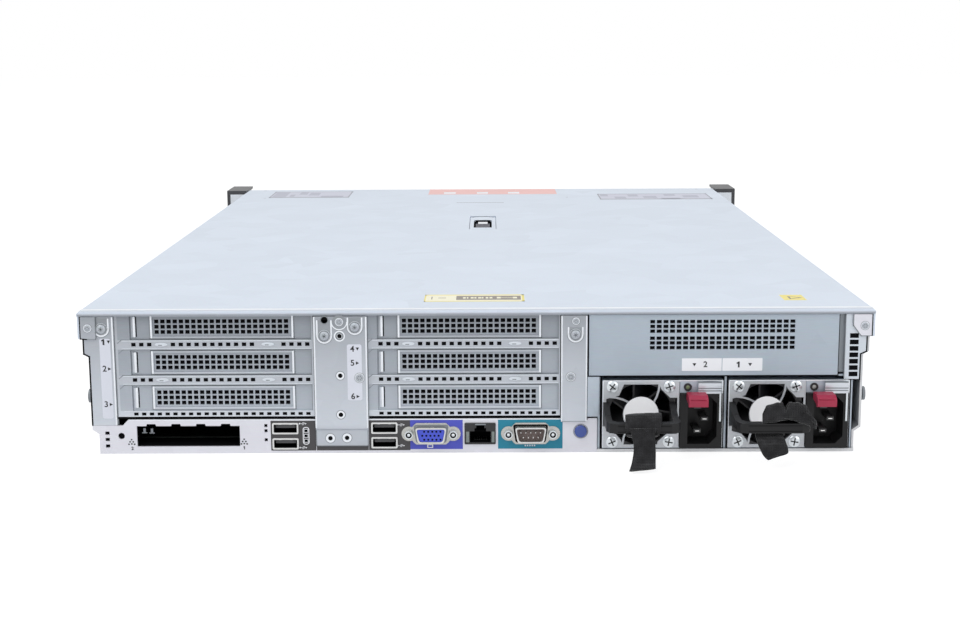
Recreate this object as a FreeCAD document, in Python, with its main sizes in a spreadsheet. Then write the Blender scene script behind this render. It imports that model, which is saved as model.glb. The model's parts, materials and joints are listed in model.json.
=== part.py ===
"""A 2U rack server, as a parametric FreeCAD document that writes one STEP file per piece.

Frame, in millimetres: the origin is the middle of the base, +X to the right when facing the rear
panel, +Y from the rear panel towards the drive bays, +Z up. The rear panel's face is at
-body_depth / 2, and the rack ears stand out past the other end.
"""
import FreeCAD, Part
import math
import os
import Sketcher
from FreeCAD import Vector

doc = FreeCAD.newDocument("rack_server")
sheet = doc.addObject("Spreadsheet::Sheet", "dims")

# ---------------------------------------------------------------- driving dimensions
DIMENSIONS = (
    ("body_depth", 650, "rear panel face to front frame face"),
    ("body_height", 82, "base to hood top"),
    ("hood_width", 445.4, "over the hood's side flanges"),
    ("ear_span", 482.6, "over both rack ears, the 19 inch panel width"),
    ("rack_pitch", 465.1, "between the two ear holes"),
    ("wall", 1.2, "sheet steel of the chassis"),
    ("sheet_thin", 1.0, "sheet steel of brackets, risers and blanks"),
    ("slot_pitch", 20.32, "between expansion slots"),
    ("slot_top", 73.0, "height of the upper slot's middle"),
    ("slot_opening", 15.2, "clear height of a slot"),
    ("riser_left", -202.4, "left edge of the first riser"),
    ("riser_width", 111.4, "width of a riser's rear plate"),
    ("riser_step", 138.5, "from the first riser to the second"),
    ("vent_rows", 3, "slots in a vent"),
    ("vent_pitch", 3.0, "between slots in a blank"),
    ("vent_width", 75.0, "slots in a blank"),
    ("panel_pitch", 2.7, "between slots in the vented panel"),
    ("panel_vent_width", 80.8, "slots in the vented panel"),
    ("band_height", 19.8, "connector band along the base"),
    ("port_height", 11.2, "middle height of the connectors"),
    ("psu_left", 71.2, "left side of the first supply"),
    ("psu_pitch", 70.9, "between the two supplies"),
    ("psu_width", 67.6, "power supply"),
    ("psu_height", 39.2, "power supply"),
    ("psu_depth", 185, "power supply"),
    ("psu_base", 2.4, "underside of a supply"),
    ("psu_fan_x", 21.6, "fan axis from the supply's left side"),
    ("psu_fan_size", 37.0, "square fan housing"),
    ("psu_hub", 10.2, "radius of the fan guard's disc"),
    ("handle_reach", 34, "supply handle, from the supply's face"),
    ("system_fan_count", 6, "fans across the middle"),
    ("system_fan_pitch", 70, "between those fans"),
    ("system_fan_bore", 29.5, "radius of a fan's duct"),
    ("system_fan_height", 36, "height of the fan axes"),
    ("bay_pitch", 16.5, "between drive bays"),
    ("bay_count", 8, "small drive bays"),
    ("ear_depth", 45, "rack face to ear front"),
    ("ear_height", 83, "rack ear"),
    ("pin_gap", 0.05, "radial play of a hinge pin in its hole"),
)


def fill_sheet():
    for row, (alias, value, note) in enumerate(DIMENSIONS, start=1):
        sheet.set(f"A{row}", note)
        sheet.set(f"B{row}", str(value))
        sheet.setAlias(f"B{row}", alias)
    doc.recompute()


def size(alias):
    return float(sheet.get(alias))


fill_sheet()
REAR = "(-dims.body_depth / 2)"
FRONT = "(dims.body_depth / 2)"
rear = -size("body_depth") / 2
front = size("body_depth") / 2
wall = size("wall")
thin = size("sheet_thin")

parts = []


# ---------------------------------------------------------------- modelling helpers
def publish(obj, label):
    """Gives a finished sub-part its name and puts it on the list of files."""
    obj.Label = label
    parts.append(obj)
    return obj


def new_body(label):
    return publish(doc.addObject("PartDesign::Body", label), label)


def sketch(body, name, role, at=0):
    """A sketch on an origin plane of its body, moved along the plane's world axis to 'at'."""
    made = body.newObject("Sketcher::SketchObject", name)
    plane = next(f for f in body.Origin.OriginFeatures if f.Role == role)
    made.AttachmentSupport = [(plane, "")]
    made.MapMode = "FlatFace"
    sign = "-" if role == "XZ_Plane" else ""
    made.setExpression(".AttachmentOffset.Base.z", f"{sign}({at})")
    return made


def rectangle(made, left, low, wide, high):
    """A rectangle held by four dimensions, each a number or an expression."""
    corners = [Vector(0, 0, 0), Vector(1, 0, 0), Vector(1, 1, 0), Vector(0, 1, 0)]
    lines = [made.addGeometry(Part.LineSegment(corners[i], corners[(i + 1) % 4])) for i in range(4)]
    for i, kind in enumerate(("Horizontal", "Vertical", "Horizontal", "Vertical")):
        made.addConstraint(Sketcher.Constraint("Coincident", lines[i], 2, lines[(i + 1) % 4], 1))
        made.addConstraint(Sketcher.Constraint(kind, lines[i]))
    held = (
        ("DistanceX", -1, 1, lines[0], 1, left),
        ("DistanceY", -1, 1, lines[0], 1, low),
        ("DistanceX", lines[0], 1, lines[0], 2, wide),
        ("DistanceY", lines[1], 1, lines[1], 2, high),
    )
    for kind, first, first_end, second, second_end, value in held:
        rule = made.addConstraint(Sketcher.Constraint(kind, first, first_end, second, second_end, 1.0))
        made.setExpression(f"Constraints[{rule}]", str(value))


def polygon(made, points):
    """A closed outline of straight lines."""
    lines = []
    for i, point in enumerate(points):
        after = points[(i + 1) % len(points)]
        lines.append(made.addGeometry(Part.LineSegment(Vector(*point, 0), Vector(*after, 0))))
    for i, line in enumerate(lines):
        made.addConstraint(Sketcher.Constraint("Coincident", line, 2, lines[(i + 1) % len(lines)], 1))


def ring_points(count, radius, x=0, y=0):
    """The corners of a regular outline."""
    return [
        (x + radius * math.cos(2 * math.pi * i / count), y + radius * math.sin(2 * math.pi * i / count))
        for i in range(count)
    ]


def circle(made, x, y, radius):
    """A circle held by its radius, a number or an expression."""
    ring = made.addGeometry(Part.Circle(Vector(x, y, 0), Vector(0, 0, 1), 1.0))
    made.addConstraint(Sketcher.Constraint("DistanceX", -1, 1, ring, 3, x))
    made.addConstraint(Sketcher.Constraint("DistanceY", -1, 1, ring, 3, y))
    rule = made.addConstraint(Sketcher.Constraint("Radius", ring, 1.0))
    made.setExpression(f"Constraints[{rule}]", str(radius))


def pad(body, name, profile, length, forward=True):
    """Extrudes a sketch along its plane's world axis, forward or back."""
    made = body.newObject("PartDesign::Pad", name)
    made.Profile = profile
    made.setExpression("Length", str(length))
    normal_is_back = profile.AttachmentSupport[0][0].Role == "XZ_Plane"
    made.Reversed = forward == normal_is_back
    return made


def pocket(body, name, profile, depth=None, forward=True):
    """Cuts a sketch into the solid: to a depth along the world axis, or through everything."""
    made = body.newObject("PartDesign::Pocket", name)
    made.Profile = profile
    if depth is None:
        made.Type = 1
        made.Midplane = True
        return made
    made.setExpression("Length", str(depth))
    cuts_forward = profile.AttachmentSupport[0][0].Role == "XZ_Plane"
    made.Reversed = forward != cuts_forward
    return made


def row_of(body, name, cut, profile, axis, count, pitch):
    """Repeats a feature along one axis of its sketch."""
    made = body.newObject("PartDesign::LinearPattern", name)
    made.Originals = [cut]
    made.Direction = (profile, [axis])
    made.setExpression("Occurrences", str(count))
    made.setExpression("Length", f"({count} - 1) * {pitch}")
    body.Tip = made
    return made


def ring_of(body, name, feature, profile, count):
    """Repeats a feature in a circle about its sketch's normal."""
    made = body.newObject("PartDesign::PolarPattern", name)
    made.Originals = [feature]
    made.Axis = (profile, ["N_Axis"])
    made.Angle = 360
    made.setExpression("Occurrences", str(count))
    body.Tip = made
    return made


def box(name, corner, extent):
    """A Part::Box between expressions: its low corner and its three sizes."""
    made = doc.addObject("Part::Box", name)
    for axis, value in zip("xyz", corner):
        made.setExpression(f".Placement.Base.{axis}", str(value))
    for side, value in zip(("Length", "Width", "Height"), extent):
        made.setExpression(side, str(value))
    return made


def turned_prism(start, direction, radius, length, sides=12):
    """A short round piece as a many-sided prism, for what repeats or is small."""
    across = Vector(0, 0, 1)
    corners = [
        start + across * radius * math.cos(2 * math.pi * i / sides)
        + across.cross(direction) * radius * math.sin(2 * math.pi * i / sides)
        for i in range(sides)
    ]
    return Part.Face(Part.makePolygon(corners + corners[:1])).extrude(direction * length)


def fused(label, pieces):
    made = doc.addObject("Part::MultiFuse", label)
    made.Shapes = pieces
    made.Refine = True
    return made


def grouped(label, pieces):
    """Separate solids that share one node."""
    made = doc.addObject("Part::Compound", label)
    made.Links = pieces
    return publish(made, label)


def copies(label, source, shifts):
    """Moved copies of a finished shape, as separate solids in one node."""
    doc.recompute()
    made = doc.addObject("Part::Feature", label)
    moved = [source.Shape.translated(Vector(*shift)) for shift in shifts]
    made.Shape = Part.Compound(moved)
    return publish(made, label)


def mirrored(points):
    """Adds the other half of a profile that is symmetric about x = 0."""
    return points + [(-x, y) for x, y in reversed(points)]


# ---------------------------------------------------------------- chassis
usb_places = ((-115.2, 11.3), (-115.2, 2.4), (-59.2, 11.4), (-59.2, 2.9))
usb_width = 14.6
usb_height = 6.3
side_x = 217.0            # side wall, outer face
shoulder_x = 220.2        # the widened top of the side wall
foot_x = 213.3            # the narrowed foot of the side wall
bay_roof = 44.4           # top of the supplies' cage, which the vented panel stands on
deck_z = 80.7             # top of the chassis under the hood


def chassis_pan():
    """Floor and both side walls: one folded sheet, stepped in at the foot and out at the top."""
    body = new_body("chassis_pan")
    section = sketch(body, "section", "XZ_Plane", f"{REAR} + dims.wall")
    right_half = [
        (foot_x, 0), (foot_x, 11.5), (side_x, 14.0), (side_x, 56.0), (shoulder_x, 57.6),
        (shoulder_x, deck_z), (shoulder_x - 8, deck_z), (shoulder_x - 8, deck_z - wall),
        (shoulder_x - wall, deck_z - wall), (shoulder_x - wall, 58.4), (side_x - wall, 56.8),
        (side_x - wall, 14.8), (foot_x - wall, 12.3), (foot_x - wall, wall),
    ]
    polygon(section, mirrored(right_half))
    pad(body, "folded_sheet", section, "dims.body_depth - 2 * dims.wall")
    sill = sketch(body, "sill", "XZ_Plane", REAR)
    rectangle(sill, 68.3, 0, foot_x - 68.3, 1.8)
    pad(body, "rear_sill", sill, "dims.wall")


def rear_panel():
    """The connector band along the base, with the openings for what plugs in from behind."""
    body = new_body("rear_panel")
    outline = sketch(body, "outline", "XZ_Plane", REAR)
    band = size("band_height")
    polygon(outline, [
        (-foot_x, 0), (68.2, 0), (68.2, band), (-196.6, band), (-199.8, 16.4), (-side_x, 16.4),
        (-side_x, 14.0), (-foot_x, 11.5),
    ])
    pad(body, "plate", outline, "dims.wall")
    port_z = size("port_height")
    openings = sketch(body, "openings", "XZ_Plane", REAR)
    rectangle(openings, -192.0, 4.1, 58.3, 11.9)
    for left, low, wide, high in (
        (-34.2, port_z - 4.7, 17.6, 9.4), (-6.3, 5.4, 17.0, 11.6), (22.0, port_z - 4.7, 17.6, 9.4),
        *((left, low, usb_width, usb_height) for left, low in usb_places),
    ):
        rectangle(openings, left, low, wide, high)
    for height in (4.5, 8.3, 12.0):
        rectangle(openings, -210.0, height - 0.95, 2.5, 1.9)
    for height in (7.8, 13.1, 16.1):
        rectangle(openings, -119.8, height - 0.9, 1.8, 1.8)
    polygon(openings, ring_points(12, 1.9, -200.8, 10.3))
    circle(openings, 59.0, 12.3, 3.5)
    pocket(body, "cut_openings", openings)
    notch = sketch(body, "card_notch", "XZ_Plane", REAR)
    rectangle(notch, -186.6, 15.5, 5.6, 1.7)
    cut = pocket(body, "cut_notch", notch)
    row_of(body, "card_notches", cut, notch, "H_Axis", 4, 14.05)


def left_upright():
    """The left rear corner above the band: a plate folded in from the side, with a proud tab."""
    body = new_body("left_upright")
    outline = sketch(body, "outline", "XZ_Plane", REAR)
    riser_edge = size("riser_left") - 0.6
    polygon(outline, [
        (-side_x, 16.5), (riser_edge, 16.5), (riser_edge, 79.0), (-shoulder_x, 79.0),
        (-shoulder_x, 57.6), (-side_x, 56.0),
    ])
    pad(body, "plate", outline, "dims.wall")
    tab = sketch(body, "tab", "XZ_Plane", f"{REAR} - dims.sheet_thin")
    rectangle(tab, -221.3, 66.5, 8.7, 12.5)
    pad(body, "corner_tab", tab, "dims.sheet_thin")


def corner_flange():
    """The right rear corner: a vented flange folded in from the side wall."""
    body = new_body("corner_flange")
    outline = sketch(body, "outline", "XZ_Plane", REAR)
    polygon(outline, [
        (206.5, 41.9), (215.6, 41.9), (215.6, 56.0), (218.9, 57.6), (218.9, 79.0), (206.5, 79.0),
    ])
    pad(body, "plate", outline, "dims.wall")
    vent = sketch(body, "vent", "XZ_Plane", REAR)
    rectangle(vent, 209.2, 43.6, 4.4, 2.3)
    cut = pocket(body, "cut_vent", vent)
    row_of(body, "vents", cut, vent, "V_Axis", 7, 3.66)
    fold = sketch(body, "fold", "XZ_Plane", REAR)
    rectangle(fold, 206.5, 44.6, "dims.sheet_thin", 34.4)
    pad(body, "folded_edge", fold, 9)
    ledge = sketch(body, "ledge", "XZ_Plane", f"{REAR} + 2.2")
    rectangle(ledge, 203.0, 45.6, 3.6, 33.4)
    pad(body, "sunk_ledge", ledge, "dims.sheet_thin")
    tab = sketch(body, "tab", "XZ_Plane", f"{REAR} - dims.sheet_thin")
    polygon(tab, [(212.6, 71.2), (216.8, 67.0), (221.3, 67.0), (221.3, 79.0), (212.6, 79.0)])
    body.Tip = pad(body, "corner_tab", tab, "dims.sheet_thin")


def centre_bracket():
    """The bracket between the risers: a plate that jogs back to a screwed foot."""
    body = new_body("centre_bracket")
    section = sketch(body, "section", "YZ_Plane", -90.4)
    face = rear - 2.0
    polygon(section, [
        (face, 79.0), (face, 14.6), (rear - thin, 13.6), (rear - thin, 4.3), (rear, 4.3),
        (rear, 14.1), (face + thin, 15.0), (face + thin, 79.0),
    ])
    pad(body, "jogged_plate", section, 29.5)
    holes = sketch(body, "holes", "XZ_Plane", REAR)
    for x, height in (
        (-84.3, 77.0), (-76.0, 67.9), (-76.0, 45.3), (-76.1, 22.8), (-82.4, 8.9), (-73.0, 9.1),
    ):
        polygon(holes, ring_points(12, 1.4, x, height))
    pocket(body, "cut_holes", holes)
    edges = sketch(body, "edges", "XZ_Plane", f"{REAR} - 1")
    for left in (-90.4, -61.9):
        rectangle(edges, left, 20.0, "dims.sheet_thin", 59.0)
    pad(body, "folded_edges", edges, 1.4)


def divider_bracket():
    """The bracket between the second riser and the vented panel."""
    body = new_body("divider_bracket")
    outline = sketch(body, "outline", "XZ_Plane", f"{REAR} - 1.6")
    rectangle(outline, 47.8, 18.1, 14.4, 60.9)
    pad(body, "plate", outline, "dims.sheet_thin")
    edges = sketch(body, "edges", "XZ_Plane", f"{REAR} - 0.6")
    for left in (47.8, 61.2):
        rectangle(edges, left, "dims.band_height", "dims.sheet_thin", 59.2)
    pad(body, "folded_edges", edges, 4.5)


def vent_panel():
    """The perforated panel above the supplies, with a folded rim."""
    body = new_body("vent_panel")
    outline = sketch(body, "outline", "XZ_Plane", REAR)
    rectangle(outline, 63.4, bay_roof, 139.3, 34.6)
    pad(body, "plate", outline, "dims.sheet_thin")
    rim = sketch(body, "rim", "XZ_Plane", f"{REAR} + dims.sheet_thin")
    for left, low, wide, high in ((63.4, bay_roof, 139.3, 1.0), (201.7, bay_roof + 1, 1.0, 33.6)):
        rectangle(rim, left, low, wide, high)
    pad(body, "folded_rim", rim, 8)
    for name, low in (("lower", 59.4), ("upper", 68.8)):
        vent = sketch(body, f"{name}_vent", "XZ_Plane", REAR)
        rectangle(vent, 97.4, low, "dims.panel_vent_width", 1.65)
        cut = pocket(body, f"cut_{name}_vent", vent)
        row_of(body, f"{name}_vents", cut, vent, "V_Axis", "dims.vent_rows", "dims.panel_pitch")


def psu_bay():
    """The sheet cage that guides both supplies, with its end wall and bay divider."""
    bay_y = f"{REAR} + 1.6"
    bay_depth = "dims.psu_depth + 14"
    pieces = [box("bay_roof", (67.2, bay_y, bay_roof - thin), (144.8, bay_depth, "dims.sheet_thin"))]
    for name, left in (("left", 68.6), ("middle", 139.8), ("right", 210.6)):
        pieces.append(box(f"bay_wall_{name}", (left, bay_y, "dims.wall"),
                          ("dims.wall", bay_depth, bay_roof - wall)))
    for supply in (0, 1):
        for offset in (3, 58):
            left = f"dims.psu_left + {supply} * dims.psu_pitch + {offset}"
            pieces.append(box(f"bay_rail_{supply}_{offset}", (left, bay_y, "dims.wall"),
                              (5, bay_depth, "dims.psu_base - dims.wall - 0.1")))
    end_y = f"{bay_y} + {bay_depth} - dims.wall"
    pieces.append(box("bay_end", (67.2, end_y, "dims.wall"), (144.8, "dims.wall", bay_roof - wall)))
    pieces.append(box("bay_lip", (62.6, f"{REAR} - 1.2", 21.0), (6.4, 1.0, 22.8)))
    pieces.append(box("bay_neck", (67.2, f"{REAR} - 0.6", 21.0), (1.8, 3.2, 22.6)))
    publish(fused("psu_bay", pieces), "psu_bay")


def rear_fasteners():
    """The captive screws of the rear brackets, as separate solids."""
    screws = []
    for x, stand_off, height in (
        (-209.4, 0, 72.0), (-84.5, 2.0, 68.1), (-67.4, 2.0, 73.0), (55.7, 1.6, 68.2),
    ):
        start = Vector(x, rear - stand_off, height)
        screws.append(turned_prism(start, Vector(0, -1, 0), 2.4, 1.4))
    made = doc.addObject("Part::Feature", "rear_fasteners")
    made.Shape = Part.Compound(screws)
    publish(made, "rear_fasteners")


def rail_studs():
    """Headed studs that hang the server in its rack rails, two on each side."""
    studs = []
    for side in (-1, 1):
        for along in (rear + 12, front - 80):
            out = Vector(side, 0, 0)
            start = Vector(side * side_x, along, 31)
            neck = turned_prism(start, out, 2.5, 2.4)
            head = turned_prism(start + out * 2.4, out, 4.0, 1.4)
            studs.append(neck.fuse(head))
    made = doc.addObject("Part::Feature", "rail_studs")
    made.Shape = Part.Compound(studs)
    publish(made, "rail_studs")


# ---------------------------------------------------------------- risers and slots
board_top = 5.2           # upper face of the system board


def riser_cage(number):
    """A removable cage: slotted rear plate, card wall and front wall."""
    shift = f"dims.riser_left + {number - 1} * dims.riser_step"
    body = new_body(f"riser_cage_{number}")
    outline = sketch(body, "outline", "XZ_Plane", f"{REAR} + 0.4")
    rectangle(outline, shift, 21.4, "dims.riser_width", 59.2)
    pad(body, "rear_plate", outline, "dims.sheet_thin")
    slot = sketch(body, "slot", "XZ_Plane", REAR)
    lowest = "dims.slot_top - 2 * dims.slot_pitch - dims.slot_opening / 2"
    rectangle(slot, f"{shift} + 8.6", lowest, "dims.riser_width - 9.8", "dims.slot_opening")
    cut = pocket(body, "cut_slot", slot)
    row_of(body, "slots", cut, slot, "V_Axis", 3, "dims.slot_pitch")
    side = sketch(body, "card_wall", "XZ_Plane", f"{REAR} + 0.4")
    right = f"{shift} + dims.riser_width - dims.sheet_thin"
    rectangle(side, right, 21.4, "dims.sheet_thin", 59.2)
    pad(body, "card_wall_pad", side, 172)
    end = sketch(body, "front_wall", "XZ_Plane", f"{REAR} + 171.4")
    rectangle(end, shift, 21.4, "dims.riser_width", 59.2)
    pad(body, "front_wall_pad", end, "dims.sheet_thin")


def riser_cards():
    """Upright circuit boards on the cages' walls, each with three slot connectors."""
    cards = []
    for number in (0, 1):
        edge = f"dims.riser_left + dims.riser_width - 2.6 + {number} * dims.riser_step"
        pieces = [box(f"card_{number}", (edge, f"{REAR} + 30", board_top), (1.6, 130, 72.0))]
        for slot in range(3):
            height = f"dims.slot_top - {slot} * dims.slot_pitch - 3.5"
            pieces.append(box(f"connector_{number}_{slot}", (f"{edge} - 11", f"{REAR} + 50", height),
                              (11, 89, 7)))
        cards.append(fused(f"riser_card_{number + 1}", pieces))
    grouped("riser_cards", cards)


def slot_blank():
    """One expansion-slot blank, for the first riser's upper slot: raised vented field and rib."""
    body = doc.addObject("PartDesign::Body", "slot_blank")
    outline = sketch(body, "outline", "XZ_Plane", f"{REAR} + 1.4")
    rectangle(outline, "dims.riser_left + 4.4", "dims.slot_top - 9.0", "dims.riser_width - 5.6", 16.6)
    pad(body, "plate", outline, "dims.sheet_thin")
    field = sketch(body, "field", "XZ_Plane", f"{REAR} + 0.6")
    rectangle(field, -182.0, "dims.slot_top - 6.6", 79.9, 13.2)
    pad(body, "raised_field", field, 1.0)
    dished = sketch(body, "dished", "XZ_Plane", f"{REAR} + 0.6")
    rectangle(dished, -180.7, "dims.slot_top - 5.3", 77.3, 10.6)
    pocket(body, "dished_field", dished, 0.5)
    rib = sketch(body, "rib", "XZ_Plane", f"{REAR} + 0.5")
    rectangle(rib, -192.8, "dims.slot_top - 5.9", 1.7, 11.8)
    pad(body, "rib_pad", rib, 1.0)
    vent = sketch(body, "vent", "XZ_Plane", REAR)
    rectangle(vent, -179.8, "dims.slot_top - dims.vent_pitch - 0.95", "dims.vent_width", 1.9)
    cut = pocket(body, "cut_vent", vent)
    row_of(body, "vents", cut, vent, "V_Axis", "dims.vent_rows", "dims.vent_pitch")
    return body


def slot_blanks():
    blank = slot_blank()
    pitch = size("slot_pitch")
    step = size("riser_step")
    places = [(along, 0, -slot * pitch) for along in (0, step) for slot in range(3)]
    copies("slot_blanks", blank, places)


# ---------------------------------------------------------------- rear connectors
def usb_ports():
    """Two pairs of USB sockets: a steel shell with a tongue inside."""
    ports = []
    for left, low in usb_places:
        shell = Part.makeBox(usb_width, 16.5, usb_height, Vector(left, rear - 0.6, low))
        corner = Vector(left + 0.6, rear - 0.6, low + 0.6)
        mouth = Part.makeBox(usb_width - 1.2, 15.5, usb_height - 1.2, corner)
        tongue = Part.makeBox(11.2, 14.0, 1.6, Vector(left + 1.7, rear + 1.2, low + 3.2))
        ports.append(shell.cut(mouth).fuse(tongue))
    made = doc.addObject("Part::Feature", "usb_ports")
    made.Shape = Part.Compound(ports)
    publish(made, "usb_ports")


def d_outline(centre, half_width, half_height, slope):
    """The D of a D-sub shell: wide at the top, sloping in to the bottom."""
    x, z = centre
    return [
        (x - half_width, z + half_height), (x + half_width, z + half_height),
        (x + half_width - slope, z - half_height), (x - half_width + slope, z - half_height),
    ]


def d_socket(label, x, shell_half_height, filled):
    """A D-sub connector: flange, D-shaped shell, insert or pins, and two jackscrews."""
    z = size("port_height")
    body = new_body(label)
    flange = sketch(body, "flange", "XZ_Plane", f"{REAR} - 0.8")
    polygon(flange, [
        (x - 9.4, z + 6.2), (x + 9.4, z + 6.2), (x + 12.4, z + 4.0), (x + 16.0, z + 4.0),
        (x + 16.0, z - 4.0), (x + 12.4, z - 4.0), (x + 9.4, z - 6.2), (x - 9.4, z - 6.2),
        (x - 12.4, z - 4.0), (x - 16.0, z - 4.0), (x - 16.0, z + 4.0), (x - 12.4, z + 4.0),
    ])
    pad(body, "flange_pad", flange, 0.8)
    shell = sketch(body, "shell", "XZ_Plane", f"{REAR} - 5.6")
    polygon(shell, d_outline((x, z), 8.6, shell_half_height, 1.5))
    pad(body, "shell_pad", shell, 14)
    inside = sketch(body, "inside", "XZ_Plane", f"{REAR} - 5.6")
    polygon(inside, d_outline((x, z), 8.1, shell_half_height - 0.5, 1.5))
    pocket(body, "hollow", inside, 0.8 if filled else 5.4)
    screws = sketch(body, "jackscrews", "XZ_Plane", f"{REAR} - 4.4")
    for side in (-1, 1):
        polygon(screws, ring_points(6, 2.5, x + side * 12.5, z))
    pad(body, "jackscrew_pad", screws, 4.4)
    if not filled:
        pins = sketch(body, "pins", "XZ_Plane", f"{REAR} - 4.6")
        for i in range(9):
            upper = i < 5
            across = (i - 2) * 2.77 if upper else (i - 6.5) * 2.77
            height = z + (1.42 if upper else -1.42)
            rectangle(pins, x + across - 0.5, height - 0.5, 1.0, 1.0)
        pad(body, "pin_pads", pins, 4.6)


def network_port():
    """An RJ45 jack in a steel shell, with the latch channel above its mouth."""
    body = new_body("network_port")
    outline = sketch(body, "outline", "XZ_Plane", f"{REAR} - 0.6")
    rectangle(outline, -6.3, 5.4, 17.0, 11.6)
    pad(body, "shell", outline, 17)
    mouth = sketch(body, "mouth", "XZ_Plane", f"{REAR} - 0.6")
    polygon(mouth, [
        (-3.6, 6.0), (8.2, 6.0), (8.2, 12.6), (5.6, 12.6), (5.6, 14.4), (4.6, 14.4), (4.6, 16.2),
        (0.0, 16.2), (0.0, 14.4), (-1.0, 14.4), (-1.0, 12.6), (-3.6, 12.6),
    ])
    pocket(body, "cut_mouth", mouth, 13)


def push_button(label, x, height, face, inward, radius, skirt_radius):
    """A round cap through its panel, kept in by a skirt behind the sheet."""
    along = Vector(0, inward, 0)
    cap = turned_prism(Vector(x, face - 1.6 * inward, height), along, radius, 5.0, 16)
    skirt = turned_prism(Vector(x, face + 2.4 * inward, height), along, skirt_radius, 1.0, 16)
    made = doc.addObject("Part::Feature", label)
    made.Shape = cap.fuse(skirt)
    publish(made, label)


# ---------------------------------------------------------------- power supplies
fan_mid = 19.6            # fan axis above a supply's underside
inlet_left = 43.4         # left edge of the inlet's flange, from the supply's left side


def psu_place(made, number, x=0, y=0, z=0):
    """Moves a piece from the supply's own corner to its bay: supply 1 is the right-hand one."""
    made.setExpression(".Placement.Base.x", f"dims.psu_left + {2 - number} * dims.psu_pitch + {x}")
    made.setExpression(".Placement.Base.y", f"{REAR} + {y}")
    made.setExpression(".Placement.Base.z", f"dims.psu_base + {z}")
    return made


def psu_case(number):
    """A sheet-steel tube closed at its inner end, with a face plate over the inlet."""
    body = new_body(f"psu_{number}_case")
    outline = sketch(body, "outline", "XZ_Plane")
    rectangle(outline, 0, 0, "dims.psu_width", "dims.psu_height")
    pad(body, "tube", outline, "dims.psu_depth")
    inside = sketch(body, "inside", "XZ_Plane")
    rectangle(inside, "dims.sheet_thin", "dims.sheet_thin", "dims.psu_width - 2 * dims.sheet_thin",
              "dims.psu_height - 2 * dims.sheet_thin")
    pocket(body, "hollow", inside, "dims.psu_depth - 1.5")
    face = sketch(body, "face", "XZ_Plane")
    rectangle(face, inlet_left, 31.9, "dims.psu_width - 43.9", 6.8)
    pad(body, "face_plate", face, "dims.sheet_thin")
    windows = sketch(body, "windows", "XZ_Plane")
    circle(windows, 47.8, 35.2, 1.9)
    rectangle(windows, 60.4, 32.8, 6.2, 4.8)
    pocket(body, "cut_windows", windows, 1.2)
    hook_window = sketch(body, "hook_window", "YZ_Plane", "dims.psu_width - 2")
    rectangle(hook_window, 22, 33.0, 10, 4.4)
    pocket(body, "cut_hook_window", hook_window, 3)
    psu_place(body, number)


def psu_fan_housing(number):
    """The square black frame of the supply's fan, with its round duct."""
    body = new_body(f"psu_{number}_fan_housing")
    outline = sketch(body, "outline", "XZ_Plane")
    half = "dims.psu_fan_size / 2"
    rectangle(outline, f"-{half} - 0.9", f"-{half}", "dims.psu_fan_size + 1.8", "dims.psu_fan_size")
    pad(body, "frame", outline, 26)
    duct = sketch(body, "duct", "XZ_Plane")
    polygon(duct, ring_points(24, 17.9))
    pocket(body, "cut_duct", duct)
    psu_place(body, number, x="dims.psu_fan_x", y=0.1, z=fan_mid)


def psu_fan_guard(number):
    """The plate over the fan: an opening with gussets round its screws, a disc and swept arms."""
    body = new_body(f"psu_{number}_fan_guard")
    outline = sketch(body, "outline", "XZ_Plane", -1)
    rectangle(outline, "-dims.psu_fan_x + 0.5", f"-{fan_mid} + 0.4", 42.5, "dims.psu_height - 0.8")
    pad(body, "plate", outline, "dims.sheet_thin")
    opening = sketch(body, "opening", "XZ_Plane", -1)
    polygon(opening, [
        (-9.7, 17.4), (10.2, 17.4), (11.3, 14.6), (16.3, 9.7), (20.3, 9.7), (20.3, -11.3),
        (14.6, -11.3), (9.7, -15.7), (9.4, -17.4), (-10.2, -17.4), (-11.3, -14.6), (-14.1, -11.3),
        (-19.6, -9.7), (-19.6, 9.1), (-12.4, 11.0),
    ])
    pocket(body, "cut_opening", opening)
    arm = sketch(body, "arm", "XZ_Plane", -1)
    sides = []
    for half_width in (0.55, -0.55):
        edge = []
        for step in range(4):
            radius = 9.6 + step * 3.65
            angle = math.radians(44 + step * 5.4)
            edge.append((radius * math.cos(angle) - half_width * math.sin(angle + 0.6),
                         radius * math.sin(angle) + half_width * math.cos(angle + 0.6)))
        sides.append(edge)
    polygon(arm, sides[0] + sides[1][::-1])
    disc = sketch(body, "disc", "XZ_Plane", -1)
    polygon(disc, ring_points(24, size("psu_hub")))
    pad(body, "disc_pad", disc, 0.8)
    swept = pad(body, "arm_pad", arm, 0.8)
    ring_of(body, "arms", swept, arm, 4)
    shaft = sketch(body, "shaft", "XZ_Plane", -0.4)
    circle(shaft, 0, 0, 1.0)
    body.Tip = pad(body, "shaft_pad", shaft, 18)
    psu_place(body, number, x="dims.psu_fan_x", z=fan_mid)


def fan_rotor(label, hub_radius, tip_radius, blade_count, chord, depth, bore):
    """A fan wheel about its own Y axis: a cup hub with pitched, curved blades."""
    body = new_body(label)
    hub = sketch(body, "hub", "XZ_Plane")
    polygon(hub, ring_points(12, hub_radius))
    pad(body, "hub_pad", hub, depth)
    hole = sketch(body, "bore", "XZ_Plane")
    circle(hole, 0, 0, bore)
    pocket(body, "cut_bore", hole)
    blade = sketch(body, "blade", "XY_Plane", hub_radius - 0.8)
    thick = 0.5
    polygon(blade, [
        (-chord / 2 - thick, 1.0), (-chord / 2 + thick, 1.0), (chord / 6, depth * 0.55),
        (chord / 2 + thick, depth - 1.0), (chord / 2 - thick, depth - 1.0),
        (chord / 6 - 2 * thick, depth * 0.6),
    ])
    first = pad(body, "blade_pad", blade, tip_radius - hub_radius + 0.8)
    ring_of(body, "blades", first, hub_sketch_axis(body), blade_count)
    return body


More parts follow.
